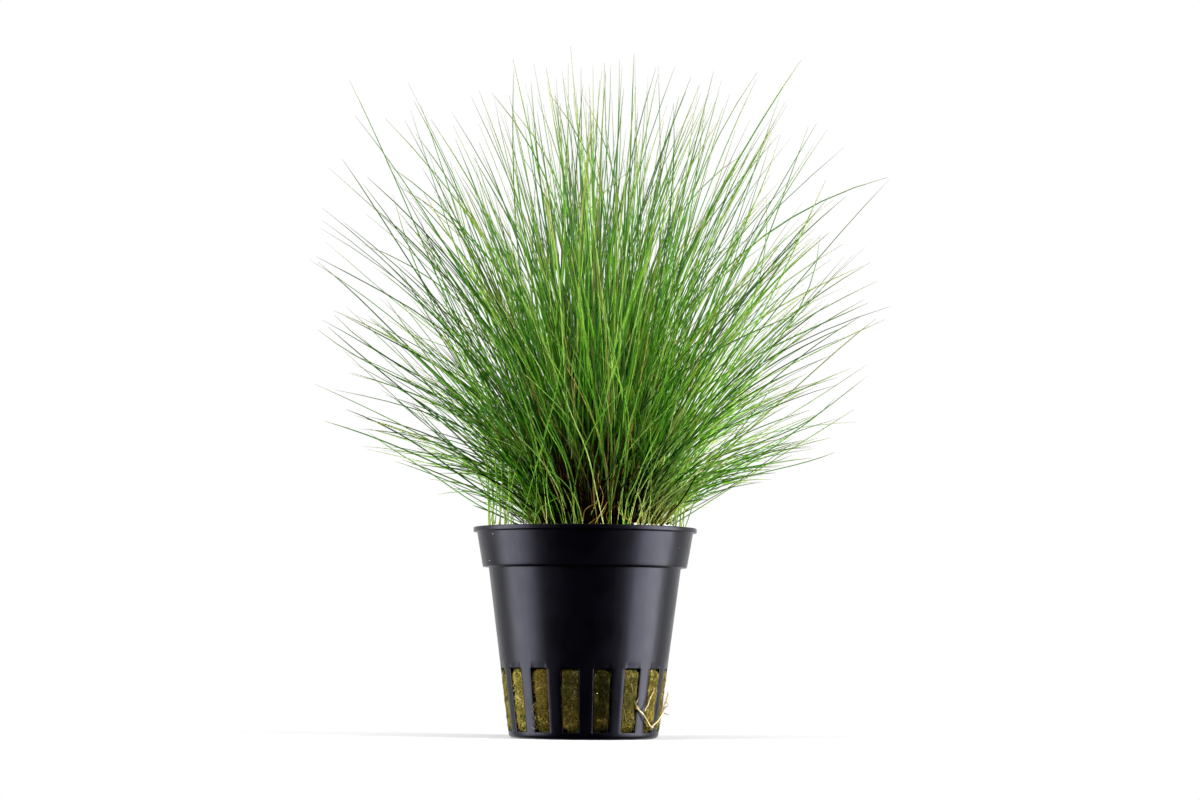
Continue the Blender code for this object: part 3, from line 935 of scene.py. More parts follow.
def make_fibres():
    rng = np.random.default_rng(21)
    # in the slots
    starts, ways, outs, lengths, lifts = [], [], [], [], []
    pitch = 360.0 / SLOT_COUNT
    per_slot = 640
    for i in range(SLOT_COUNT):
        middle = -90.0 + SLOT_PHASE + pitch * (i + 0.5)
        z = rng.uniform(SLOT_FOOT_Z + 0.3, SLOT_TOP_Z - 0.5, per_slot)
        half = SLOT_FOOT_HALF + 0.15
        lateral = rng.uniform(-1, 1, per_slot) * half * 0.86
        az = np.radians(middle) + lateral / plug_radius(z)
        bulge = slot_share(np.degrees(az), z)
        r = plug_radius(z) + bulge * 0.94 - 0.05 + 0.20 * rng.random(per_slot)
        p = np.stack([r * np.cos(az), r * np.sin(az), z], 1)
        out = unit(p * [1, 1, 0])
        tangent = np.stack([-out[:, 1], out[:, 0], np.zeros(per_slot)], 1)
        turn = rng.uniform(0, 2 * np.pi, per_slot)
        way = np.cos(turn)[:, None] * [0, 0, 1.0] + np.sin(turn)[:, None] * tangent
        length = rng.uniform(0.4, 1.9, per_slot)
        # stop at the slot's ends and sides
        end = z + way[:, 2] * length
        room = np.where(end > SLOT_TOP_Z - 0.2, (SLOT_TOP_Z - 0.2 - z), 9) / np.maximum(
            np.abs(way[:, 2]), 0.1
        )
        length = np.minimum(length, np.where(end > SLOT_TOP_Z - 0.2, room, 9))
        room = (z - SLOT_FOOT_Z - 0.15) / np.maximum(np.abs(way[:, 2]), 0.1)
        length = np.minimum(length, np.where(end < SLOT_FOOT_Z + 0.15, room, 9))
        slide = lateral + (way * tangent).sum(1) * length
        over = np.maximum(np.abs(slide) - half * 0.95, 0)
        length = np.maximum(length - over / np.maximum(np.abs((way * tangent).sum(1)), 0.15), 0.25)
        starts.append(p), ways.append(way), outs.append(out), lengths.append(length)
        lifts.append(rng.uniform(-0.02, 0.15, per_slot))
        if i % 8 == 7:
            side = "right" if i == 7 else "left"
            fibre_piece(f"wool_fibres_{side}", starts, ways, outs, lengths, lifts, rng)
            starts, ways, outs, lengths, lifts = [], [], [], [], []
    # on the top
    many = 1500
    r = 24.2 * np.sqrt(rng.random(many))
    az = rng.uniform(0, 2 * np.pi, many)
    p = np.stack([r * np.cos(az), r * np.sin(az), np.full(many, 49.95)], 1)
    turn = rng.uniform(0, 2 * np.pi, many)
    way = np.stack([np.cos(turn), np.sin(turn), rng.normal(0, 0.08, many)], 1)
    length = rng.uniform(0.8, 4.0, many)
    reach = np.hypot(*(p + way * length[:, None])[:, :2].T)
    length = np.where(reach > 25.0, 0.6, length)
    starts.append(p), ways.append(unit(way)), lengths.append(length)
    outs.append(np.tile([0, 0, 1.0], (many, 1)))
    lifts.append(rng.uniform(0.05, 0.55, many))
    fibre_piece("wool_fibres_top", starts, ways, outs, lengths, lifts, rng)

    # a few long pale hairs that stand out of the slots
    hairs = (
        # azimuth from the front, z, drift in azimuth, rise, stand-off, in mm
        (-37.6, 3.2, -3.2, 1.6, 0.75),
        (-37.4, 4.6, -2.6, 2.4, 0.70),
        (-37.8, 2.4, -3.6, 0.6, 0.80),
        (-37.2, 6.6, -2.8, 1.4, 0.72),
        (-37.5, 8.6, -2.2, -0.8, 0.70),
        (-37.3, 5.6, -1.8, -1.6, 0.70),
        (34.0, 14.0, 4.0, -3.5, 0.6),
        (33.0, 4.0, -3.0, 3.4, 0.8),
        (80.0, 6.0, 4.0, 3.0, 0.8),
        (-82.0, 9.0, -4.0, 3.0, 0.8),
        (128.0, 7.0, 4.0, 4.0, 0.8),
        (171.0, 10.0, 4.0, -4.0, 0.8),
        (-146.0, 5.0, 3.0, 4.0, 0.8),
    )
    paths = []
    for az, z, turn, rise, stand in hairs:
        t = np.linspace(0, 1, 10)
        angle = np.radians(az - 90.0 + turn * t)
        height = z + rise * t
        r = plug_radius(height) + 0.60 + stand * np.sin(np.pi * np.minimum(t * 2.5, 0.6))
        paths.append(np.stack([r * np.cos(angle), r * np.sin(angle), height], 1))
    paths = np.array(paths)
    radii = np.full(paths.shape[:2], 0.036) * np.linspace(1, 0.5, 10)[None]
    verts, quads, tris, uv, which, where = tubes(paths, radii, 5, rng)
    obj = mesh_object(
        "wool_hairs", verts * MM, quads, tris, [FIBRE], uv, {"tone": np.full(len(verts), 0.97)}
    )
    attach(obj, "root")


def make_grains():
    """Crumbs on the wool's top and on the rim, where they show from the front."""
    rng = np.random.default_rng(8)
    spots = []
    # on the lip's top: azimuth from the front, radius, size, tone
    for az, size, tone in (
        (27.0, 0.30, 0.95), (30.5, 0.26, 0.9), (34.0, 0.24, 1.0), (35.5, 0.22, 0.8),
        (38.5, 0.26, 0.22), (41.5, 0.27, 1.0), (46.5, 0.42, 1.0), (52.0, 0.34, 0.95),
        (-55.0, 0.24, 1.0), (-46.0, 0.22, 0.85), (-35.0, 0.20, 0.9), (-22.0, 0.14, 0.6),
        (8.0, 0.13, 0.5), (95.0, 0.3, 0.9), (140.0, 0.24, 0.6), (201.0, 0.3, 0.95),
        (-110.0, 0.26, 0.8), (-84.0, 0.2, 0.9),
    ):
        r = 26.35 + rng.uniform(-0.2, 0.35)
        a = math.radians(az - 90.0)
        spots.append((r * math.cos(a), r * math.sin(a), POT_HEIGHT + size * 0.45, size, tone))
    # stuck to the wall
    for az, z, r, size, tone in (
        (-57.5, 49.3, 26.36, 0.15, 1.0), (-66.0, 42.9, 25.32, 0.14, 0.7),
        (62.0, 46.2, 25.92, 0.13, 0.9), (-40.5, 47.2, 26.16, 0.10, 0.1),
        (9.3, 11.2, 19.72, 0.13, 1.0), (148.0, 30.0, 22.2, 0.12, 0.9),
        (-131.0, 21.0, 21.0, 0.12, 0.7),
    ):
        a = math.radians(az - 90.0)
        spots.append((r * math.cos(a), r * math.sin(a), z, size, tone))
    # on the wool
    for _ in range(110):
        r, a = 24.0 * math.sqrt(rng.random()), rng.uniform(0, 6.283)
        size = rng.uniform(0.12, 0.5)
        spots.append((r * math.cos(a), r * math.sin(a), 50.0 + size * 0.3, size, rng.random()))
    all_verts, all_tris, tones = [], [], []
    ico = bpy.data.meshes.new("ico")
    import bmesh

    bm = bmesh.new()
    bmesh.ops.create_icosphere(bm, subdivisions=2, radius=1.0)
    base = np.array([v.co[:] for v in bm.verts])
    faces = np.array([[v.index for v in f.verts] for f in bm.faces])
    bm.free()
    bpy.data.meshes.remove(ico)
    start = 0
    for n, (x, y, z, size, tone) in enumerate(spots):
        rough = 1 + 0.32 * waves(base, 0.45, 100 + n, 2)
        squash = rng.uniform(0.6, 1.15, 3)
        p = base * rough[:, None] * squash * size + [x, y, z]
        all_verts.append(p)
        all_tris.append(faces + start)
        tones.append(np.full(len(base), tone))
        start += len(base)
    obj = mesh_object(
        "substrate_grains",
        np.concatenate(all_verts) * MM,
        np.zeros((0, 4), int),
        np.concatenate(all_tris),
        [GRAIN],
        None,
        {"tone": np.concatenate(tones)},
    )
    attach(obj, "root")


# =================================================================== grass


def tuft_plan():
    """The tufts' feet and tips, as the solids have them, in mm."""
    rng = random.Random(11)
    plan = [(0.0, 0.0, 0.0, 4.0, 160.0)]
    rings = (
        (6, 4.8, 15.0, ((34.0, 163.0), (40.0, 157.0))),
        (12, 9.6, 0.0, ((63.0, 138.0), (52.0, 152.0))),
        (18, 14.4, 0.0, ((67.0, 104.0), (60.0, 80.0))),
    )
    for count, ring, phase, kinds in rings:
        for i in range(count):
            azimuth = phase + 360.0 * i / count
            reach, height = kinds[i % 2]
            reach += rng.uniform(-3.0, 2.0)
            height += rng.uniform(-4.0, 4.0)
            drift = rng.uniform(-2.5, 2.5)
            plan.append((ring, azimuth, azimuth + drift, reach, height))
    return plan


SET_TIPS = {
    1: (53.0, 14.0, 168.0),
    4: (-44.0, -16.0, 159.0),
    7: (74.7, -5.0, 138.0),
    10: (5.0, 70.0, 134.0),
    16: (-2.0, -70.0, 136.0),
    28: (-67.8, 0.0, 104.0),
}
LOW = np.array([-67.6, -69.8, 50.0])
HIGH = np.array([74.5, 69.8, 167.8])


def polar(radius, degrees, z=0.0):
    a = math.radians(degrees)
    return np.array([radius * math.cos(a), radius * math.sin(a), z])


def bezier(a, b, c, t):
    t = t[:, None] if a.ndim == 1 else t[None, :, None]
    if a.ndim == 2:
        a, b, c = a[:, None], b[:, None], c[:, None]
    return a * (1 - t) ** 2 + b * 2 * t * (1 - t) + c * t * t


def keep_inside(paths):
    """Leaves that would leave the plant's box are turned back along their length."""
    for n in range(len(paths)):
        for _ in range(12):
            over = np.maximum(paths[n] - HIGH, 0) + np.maximum(LOW - paths[n], 0)
            over[:8, 2] = 0
            if over.max() <= 0:
                break
            paths[n] = paths[n, 0] + (paths[n] - paths[n, 0]) * 0.94
    return paths


def through(points, per):
    """A smooth line through the points."""
    p = np.array([2 * points[0] - points[1], *points, 2 * points[-1] - points[-2]])
    made = []
    for i in range(1, len(p) - 2):
        for s in np.linspace(0, 1, per, endpoint=False):
            a, b, c, d = p[i - 1], p[i], p[i + 1], p[i + 2]
            made.append(
                0.5
                * (2 * b + (c - a) * s + (2 * a - 5 * b + 4 * c - d) * s**2 + (3 * b - a - 3 * c + d) * s**3)
            )
    made.append(p[-2])
    return np.array(made)


def leaf_paths(foot, tips, first, droop, steps, rng):
    """Bent lines from feet to tips that leave their feet along first."""
    t = np.linspace(0, 1, steps)
    run = np.linalg.norm(tips - foot, axis=1, keepdims=True)
    paths = bezier(foot, foot + first * run * droop, tips, t)
    chord = unit(tips - foot)
    side = unit(np.cross(chord, rng.normal(size=chord.shape)))
    other = np.cross(chord, side)
    size = run[:, 0] * rng.uniform(0.002, 0.011, len(foot))
    beat = rng.uniform(0.6, 1.7, (len(foot), 1))
    phase = rng.uniform(0, 2 * np.pi, (len(foot), 1))
    sway = np.sin(beat * 2 * np.pi * t[None] + phase) - np.sin(phase)
    paths += side[:, None] * (sway * size[:, None] * t[None] ** 0.5)[:, :, None]
    phase = rng.uniform(0, 2 * np.pi, (len(foot), 1))
    sway = np.sin(beat * 1.6 * np.pi * t[None] + phase) - np.sin(phase)
    paths += other[:, None] * (sway * size[:, None] * t[None] ** 0.5)[:, :, None] * 0.7
    return paths


def kink(paths, which, rng):
    """Bends some leaves sharply at one place, as dry ones do."""
    steps = paths.shape[1]
    for n in which:
        at = rng.integers(int(steps * 0.5), int(steps * 0.85))
        axis = Vector(unit(rng.normal(size=3)))
        angle = rng.uniform(0.25, 0.75)
        for k, share in ((at - 1, 0.3), (at, 0.4), (at + 1, 0.3)):
            turn = np.array(Matrix.Rotation(angle * share, 3, axis))
            rest = paths[n, k:] - paths[n, k]
            paths[n, k:] = paths[n, k] + rest @ turn.T
    return paths


def leaf_piece(name, paths, thick, tone, age, sheath, husk, crown_shade, mat, rng, sides=5):
    """One tuft's leaves as a mesh. thick is each leaf's radius, in mm, and
    sheath how far up from its foot its sheath reaches, in mm."""
    count, steps, _ = paths.shape
    t = np.linspace(0, 1, steps)
    shape = np.interp(
        t,
        [0.0, 0.05, 0.12, 0.5, 0.8, 0.93, 0.98, 1.0],
        [0.96, 1.04, 1.0, 1.0, 0.88, 0.64, 0.38, 0.15],
    )
    wave = 1 + 0.06 * np.sin(t[None] * rng.uniform(8, 20, (count, 1)) + rng.uniform(0, 6, (count, 1)))
    radii = thick[:, None] * shape[None] * wave
    verts, quads, tris, uv, which, where = tubes(paths, radii, sides, rng)
    steps_run = np.linalg.norm(np.diff(paths, axis=1), axis=2)
    total = np.concatenate([np.zeros((count, 1)), np.cumsum(steps_run, axis=1)], axis=1)
    rise = total[which, np.rint(where * (steps - 1)).astype(int)] - sheath[which]
    return mesh_object(
        name,
        verts * MM,
        quads,
        tris,
        [mat],
        uv,
        {
            "tone": tone[which],
            "age": age[which],
            "rise": rise * MM,
            "husk": husk[which],
            "crown_shade": crown_shade[which],
            "along": where,
        },
    )


def turned(vectors, amount, rng):
    """Unit vectors turned by a random small angle, in radians."""
    side = unit(np.cross(vectors, rng.normal(size=vectors.shape)))
    angle = np.abs(rng.normal(0, 1, len(vectors)) * amount)[:, None]
    return unit(vectors * np.cos(angle) + side * np.sin(angle))


def cubic(a, b, c, d, steps):
    """A line from a to d that is drawn towards b and c."""
    t = np.linspace(0, 1, steps)[:, None]
    a, b, c, d = (np.asarray(p, float) for p in (a, b, c, d))
    return a * (1 - t) ** 3 + 3 * b * t * (1 - t) ** 2 + 3 * c * t * t * (1 - t) + d * t**3


def compass(lean, azimuth):
    """Unit vectors that lean from upright towards azimuth, both in degrees."""
    lean, azimuth = np.radians(lean), np.radians(azimuth)
    return np.stack(
        [np.sin(lean) * np.cos(azimuth), np.sin(lean) * np.sin(azimuth), np.cos(lean)],
        -1,
    )


# single leaves that stand clear of the others: tuft, foot, two bends and tip in
# mm, radius in mm, tone and age
LONG_LEAVES = (
    (0, (5, 0), (3.5, -9, 83.5), (16, -22.5, 125.5), (-9.5, -34, 153.5), 0.19, 0.5, 0),
    (0, (6, 0), (6.5, 4, 87), (17.5, 9.5, 127.5), (-1.5, 14, 162), 0.18, 0.65, 0),
    (1, (9, 2), (9.5, 0, 92.5), (29, -3.5, 132.5), (52.5, -6, 167.5), 0.24, 0.62, 0),
    (1, (10, 2), (10, 3.5, 84.5), (21.5, 6, 118.5), (39.5, 8, 148), 0.19, 0.7, 0),
    (1, (11, 2), (9, -2, 88), (23.5, -7, 124.5), (32.5, -12, 161), 0.15, 0.45, 0),
    (3, (-4, 3), (-27.5, 0, 84.5), (-40, -4.5, 123.5), (-59, -8, 161), 0.17, 0.45, 0),
    (3, (3, 4), (-1.5, -2.5, 85.5), (3, -12, 127.5), (-23.5, -20, 156), 0.2, 0.6, 0),
    (3, (3.5, 2), (2, -2.5, 81), (2, -8.5, 116), (-17, -14, 143), 0.18, 0.5, 0),
    (3, (-2.5, -3), (-4.5, -9, 77), (-18.5, -17, 118), (10.5, -24, 137), 0.18, 0.75, 0),
    (4, (-1.5, -1), (0.5, -4, 87), (-19, -8.5, 119.5), (-49, -12, 139.5), 0.2, 0.6, 0),
    (4, (-2.5, -1), (-7, 0.5, 82), (-23, 2.5, 115), (-47, 4, 137.5), 0.15, 0.3, 0),
    (4, (0.5, -1), (-1, -6.5, 82), (-17.5, -15, 110.5), (-27.5, -22, 140.5), 0.17, 0.55, 0),
    (4, (1, -3), (-1.5, -7, 79), (-15.5, -13, 113.5), (4, -18, 140), 0.18, 0.6, 0),
    (4, (-1.5, -2), (-0.5, -3.5, 84.5), (-15.5, -6, 118.5), (-47, -8, 135), 0.17, 0.6, 0),
    (5, (3, -4), (-4, -14, 82), (7, -27.5, 123.5), (-18, -40, 148.5), 0.21, 0.7, 0),
    (6, (7.5, -3), (9, -0.5, 83), (7, 3, 126), (40, 6, 146.5), 0.17, 0.5, 0),
    (6, (9, -3), (13.5, -7, 88), (18, -13, 129.5), (41, -18, 162), 0.15, 0.6, 0),
    (6, (7.5, -4), (10, -5.5, 76.5), (12, -8, 104), (14, -10, 131.5), 0.13, 0.5, 0.9),
    (7, (10.5, -1), (6, -2, 91.5), (34.5, -3.5, 128), (74, -5, 138.5), 0.2, 0.66, 0),
    (7, (13.5, 0), (18.5, 2.5, 81), (57, 6.5, 92.5), (58.5, 10, 126), 0.17, 0.5, 0),
    (13, (-1.5, 0), (-5, -1, 80), (-26, -2.5, 111.5), (-56, -4, 121), 0.17, 0.7, 0),
    (13, (-2.5, 0), (-7.5, -2.5, 74), (-19, -6.5, 98), (-36, -10, 117), 0.17, 0.4, 0),
    (13, (-1.5, -3), (-6, -7, 74), (-16, -13, 98.5), (-33, -18, 117.5), 0.17, 0.8, 0),
    (14, (-1.5, -5), (-2, -7.5, 80), (-16, -11, 107.5), (-30, -14, 134), 0.17, 0.4, 0),
    (14, (1, -5), (-0.5, -8.5, 75), (-6, -13.5, 101.5), (-22, -18, 122.5), 0.17, 0.6, 0),
    (17, (6.5, -5), (9.5, -12.5, 69), (13, -25.5, 86), (16, -36, 104), 0.16, 0.8, 0.45),
    (18, (13.5, -5), (20.5, -3, 81.5), (27.5, -0.5, 115), (38, 2, 146), 0.18, 0.55, 0),
    (18, (14.5, -6), (23, -8, 77.5), (46.5, -11.5, 101), (43.5, -14, 132), 0.17, 0.75, 0),
    (18, (9.5, -4), (12, -6.5, 76), (8, -10.5, 112), (39.5, -14, 121.5), 0.17, 0.7, 0),
    (19, (9, 0), (9.5, -1, 83.5), (44, -2, 95.5), (69.5, -3, 107.5), 0.19, 0.7, 0),
    (19, (12, -2), (16, -4, 72.5), (22.5, -7.5, 99), (42, -10, 114), 0.17, 0.6, 0),
    (20, (15, 4), (22.5, 4.5, 65), (47, 5.5, 64.5), (62, 6, 71), 0.15, 0.55, 0),
    (20, (13.5, 4), (14, 7.5, 72.5), (37.5, 13.5, 81.5), (54.5, 18, 91), 0.17, 0.5, 0),
    (27, (-8.5, 4), (-13.5, 5.5, 60), (-27, 9.5, 62), (-37, 12, 60), 0.13, 0.8, 0),
    (28, (-5, 0), (-7.5, -1.5, 81.5), (-44, -4, 83.5), (-62, -6, 103), 0.17, 0.6, 0),
    (28, (-5.5, 0), (-9.5, -6, 80), (-44.5, -16, 81.5), (-64.5, -24, 97.5), 0.16, 0.75, 0),
    (29, (-6, -5), (-11, -7.5, 64.5), (-29.5, -12.5, 71.5), (-44, -16, 72.5), 0.14, 0.6, 0),
    (30, (-16, -15), (-12, -22.5, 68), (-4, -35.5, 84), (-5.5, -46, 102.5), 0.150, 0.78, 0),
    (31, (1.5, -13), (4.5, -19.5, 66.5), (-9, -31, 73.5), (-15, -40, 85.5), 0.13, 0.5, 0.85),
    (31, (-2.5, -14), (-7.5, -21, 66.5), (-14, -34, 80.5), (-20, -44, 95.5), 0.145, 0.55, 0),
    (32, (-2.5, -15), (-4, -22, 64.5), (0, -35.5, 75), (10.5, -46, 83.5), 0.140, 0.72, 0),
    (32, (-0.5, -16), (-0.5, -19, 58.5), (-5.5, -28, 63), (-12, -34, 65), 0.12, 0.70, 0),
    (33, (6, -15), (6, -23, 68), (0.5, -37, 83.5), (-9.5, -48, 97), 0.155, 0.72, 0),
    (33, (6.5, -14), (5, -21.5, 66.5), (11, -33.5, 81), (12.5, -44, 96.5), 0.140, 0.85, 0.2),
    (33, (5, -15), (7.5, -22.5, 63), (10, -35.5, 73), (13, -46, 84.5), 0.145, 0.78, 0),
    (34, (7.5, -14), (8.5, -23, 64.5), (15, -37.5, 80.5), (2.5, -50, 90), 0.140, 0.85, 0),
    (34, (9, -14), (12, -20.5, 66), (19.5, -34.5, 77), (24, -44, 91.5), 0.150, 0.6, 0),
    (35, (15, -14), (16, -16.5, 59.5), (16, -24.5, 67), (15, -30, 76), 0.13, 0.85, 0),
    (36, (14.5, -4), (18.5, -8, 73.5), (48, -14.5, 67.5), (60, -20, 82.5), 0.16, 0.6, 0),
    (36, (13.5, -5), (11.5, -6.5, 68.5), (38, -9.5, 63), (50, -12, 69), 0.15, 0.6, 0),
)

# thin leaves at the front of the crown: tuft, radius, tone, age, the reach,
# colour and painted crown shade of the foot, and points in mm
FRONT_LEAVES = (
    (31, 0.14, 0.55, 0, (-5, 0.9, 0.4),
     ((-1, -15.5, 49), (-2, -19.5, 56), (-3, -23.5, 62), (-4.5, -26.5, 66.5), (-7.5, -30, 72), (-10.5, -34, 78), (-14.5, -38.5, 84.5))),
    (31, 0.105, 0.88, 0, (-5, 0.9, 0.3),
     ((-2, -16, 49), (-3, -21, 57.5), (-4, -24.5, 62.5), (-5.5, -28.5, 67.5), (-8.5, -32, 72.5), (-11.5, -35, 77.5))),
    (31, 0.1, 0.82, 0, (8, 0.95, 0.2),
     ((-1, -15, 49), (-3, -19, 55.5), (-5.5, -22.5, 60.5), (-8, -25, 64), (-9.5, -28, 68.5), (-12, -32, 73.5), (-13.5, -35, 78))),
    (31, 0.12, 0.45, 0, (-5, 0.6, 0.6),
     ((-0.5, -14.5, 49), (-2, -20, 58), (-3.5, -24, 64), (-5.5, -28, 69.5), (-8, -31, 74.5), (-10.5, -34.5, 79.5), (-13.5, -39, 85.5))),
    (31, 0.085, 0.5, 0.45, (0, 0.5, 0),
     ((-4.5, -15.5, 49), (-6, -20, 56.5), (-8, -23.5, 61.5), (-9.5, -26, 65), (-11, -29, 69))),
    (31, 0.1, 0.82, 0, (10, 0.97, 0.2),
     ((-4, -15, 49), (-5.5, -19.5, 56.5), (-7, -23.5, 62), (-8.5, -26, 66), (-10.5, -28.5, 69.5), (-13, -31, 73.5))),
    (31, 0.11, 0.45, 0, (-5, 0.9, 0.4),
     ((-3.5, -16, 49), (-6, -20, 56.5), (-9, -22, 59.5), (-12, -24.5, 63), (-15, -27, 67), (-18.5, -29.5, 70.5))),
    (31, 0.105, 0.5, 0, (-5, 0.9, 0.4),
     ((-4.5, -16.5, 49), (-6.5, -20, 55), (-8.5, -23, 59.5), (-10.5, -26.5, 64), (-11.5, -29.5, 68), (-12.5, -32.5, 73))),
    (33, 0.125, 0.98, 0, (13, 0.98, 0.1),
     ((5, -16.5, 49), (3.5, -20.5, 55.5), (2.5, -23.5, 59.5), (1.5, -27, 64), (0, -30.5, 69), (-2, -34, 73.5), (-4, -37.5, 78), (-6, -41, 83))),
    (33, 0.11, 0.58, 0, (12, 0.76, 0.3),
     ((3.5, -15.5, 49), (2.5, -19, 55), (2, -22.5, 59.5), (2, -26.5, 65.5), (3, -29.5, 69.5), (3.5, -33, 74.5), (3.5, -37, 80))),
    (33, 0.11, 0.92, 0, (15, 0.35, 1),
     ((8, -9, 49), (7.5, -19, 63), (6.5, -23.5, 68), (6, -28, 73.5), (5, -32.5, 79.5), (4, -37, 85))),
    (33, 0.135, 0.97, 0.16, (20, 0.6, 0.9),
     ((7, -9.5, 49), (7, -22, 64.5), (7, -26, 69.5), (8, -29, 72.5), (8.5, -30.5, 74.5), (9, -33.5, 78.5), (9.5, -38, 83.5))),
    (34, 0.115, 0.9, 0, (4, 0.95, 0.1),
     ((8.5, -15.5, 49), (9.5, -18, 53.5), (10, -21, 57.5), (12, -24, 61.5), (13.5, -26.5, 65.5), (15.5, -29.5, 69.5), (18, -33, 74.5))),
    (34, 0.115, 0.99, 0, (8, 0.97, 0.1),
     ((10.5, -15.5, 49), (11, -17.5, 53), (12, -20.5, 57.5), (13, -23.5, 61.5), (15, -26.5, 66), (17.5, -30, 70.5))),
    (35, 0.095, 0.35, 0, (3, 0.6, 0.3),
     ((17, -15.5, 49), (15.5, -24, 62), (14, -27.5, 67.5), (12.5, -29.5, 70), (10.5, -31, 72), (8.5, -32.5, 74.5), (5.5, -34.5, 77.5))),
    (33, 0.1, 0.88, 0, (17, 0.3, 1),
     ((6, -9, 49), (6.5, -20.5, 64.5), (6, -25, 70.5), (5.5, -28, 73.5), (4.5, -30.5, 77), (3, -33.5, 81), (2, -37, 85))),
    (33, 0.11, 0.6, 0, (3, 0.5, 0.9),
     ((6, -15.5, 49), (6, -21, 57.5), (6, -26.5, 65.5), (6, -32.5, 73.5), (6.5, -36.5, 79), (7, -40.5, 84.5))),
    (35, 0.11, 0.95, 0, (10, 0.97, 0),
     ((13.5, -13, 49), (15.5, -14.5, 56.5), (19, -16, 61.5), (24, -17, 65), (30.5, -18, 69))),
    (35, 0.115, 0.99, 0, (7, 0.97, 0),
     ((11, -14, 49), (13, -15, 53.5), (18.5, -16.5, 58), (23.5, -17.5, 62), (30.5, -19, 67))),
    (35, 0.12, 0.9, 0, (9, 0.95, 0),
     ((12.5, -13.5, 49), (15.5, -15.5, 56.5), (20.5, -17, 62), (26, -18.5, 68), (30.5, -19.5, 72))),
    (34, 0.12, 0.93, 0, (11, 0.97, 0),
     ((10, -13, 49), (11.5, -15.5, 56.5), (15, -17.5, 63), (19, -19.5, 68.5), (23.5, -21, 73.5), (27.5, -22.5, 78))),
    (35, 0.11, 0.97, 0, (8, 0.95, 0),
     ((12, -14.5, 49), (14, -17.5, 57.5), (16, -20, 64), (18, -22.5, 69.5), (21.5, -24.5, 75.5))),
    (35, 0.105, 0.99, 0.14, (6, 0.97, 0),
     ((14.5, -15, 49), (16, -16, 53.5), (18.5, -17, 57), (22, -18, 60), (26, -18.5, 62.5))),
)

# dry, kinked ends at the front of the crown: radius, age and points in mm
DRY_BITS = (
    (0.17, 0.45, ((8.8, -20.0, 57.3), (8.0, -20.7, 54.7), (11.5, -21.4, 51.7))),
    (0.16, 0.6, ((5.3, -20.0, 56.9), (3.8, -20.7, 54.3), (2.3, -21.4, 51.6))),
    (0.15, 0.8, ((1.8, -19.0, 64.7), (1.8, -19.7, 59.8), (2.2, -20.4, 56.2), (2.6, -21.1, 54.0))),
    (0.13, 0.8, ((-0.5, -21.0, 51.8), (-0.3, -21.7, 54.4), (1.1, -22.4, 55.8), (3.5, -23.1, 56.5))),
    (0.12, 0.75, ((0.7, -22.0, 51.5), (2.1, -22.7, 52.5), (4.0, -23.4, 53.9), (5.2, -24.1, 55.8))),
    (0.13, 0.9, ((5.9, -21.0, 51.6), (5.0, -21.7, 53.7), (6.4, -22.4, 55.4), (8.3, -23.1, 56.1))),
    (0.14, 0.5, ((3.4, -20.0, 64.6), (3.0, -20.7, 62.2), (4.2, -21.4, 58.5), (3.7, -22.1, 55.2))),
    (0.12, 0.85, ((13.1, -18.0, 66.7), (11.2, -18.7, 62.3), (10.2, -19.4, 57.5), (8.8, -20.1, 52.6))),
)

# leaves, lean and its spread, spread of the azimuth, in degrees, and length
# share, from the middle out; the outer ring's front, back and sides
RINGS = (
    (98, 9.0, 11.5, 180.0, 1.02),
    (79, 16.0, 13.5, 62.0, 1.02),
    (72, 31.0, 15.5, 43.0, 1.02),
)
OUTER_FRONT = (9, 33.0, 16.0, 50.0, 0.76)
OUTER_BACK = (35, 38.0, 15.0, 40.0, 0.85)
OUTER_SIDE = (49, 50.0, 15.0, 32.0, 0.76)


def drawn(points, steps):
    """A smooth line through the points, in even steps."""
    line = through(np.array(points), 8)
    far = np.concatenate([[0], np.cumsum(np.linalg.norm(np.diff(line, axis=0), axis=1))])
    share = np.linspace(0, far[-1], steps)
    return np.stack([np.interp(share, far, line[:, k]) for k in range(3)], 1)


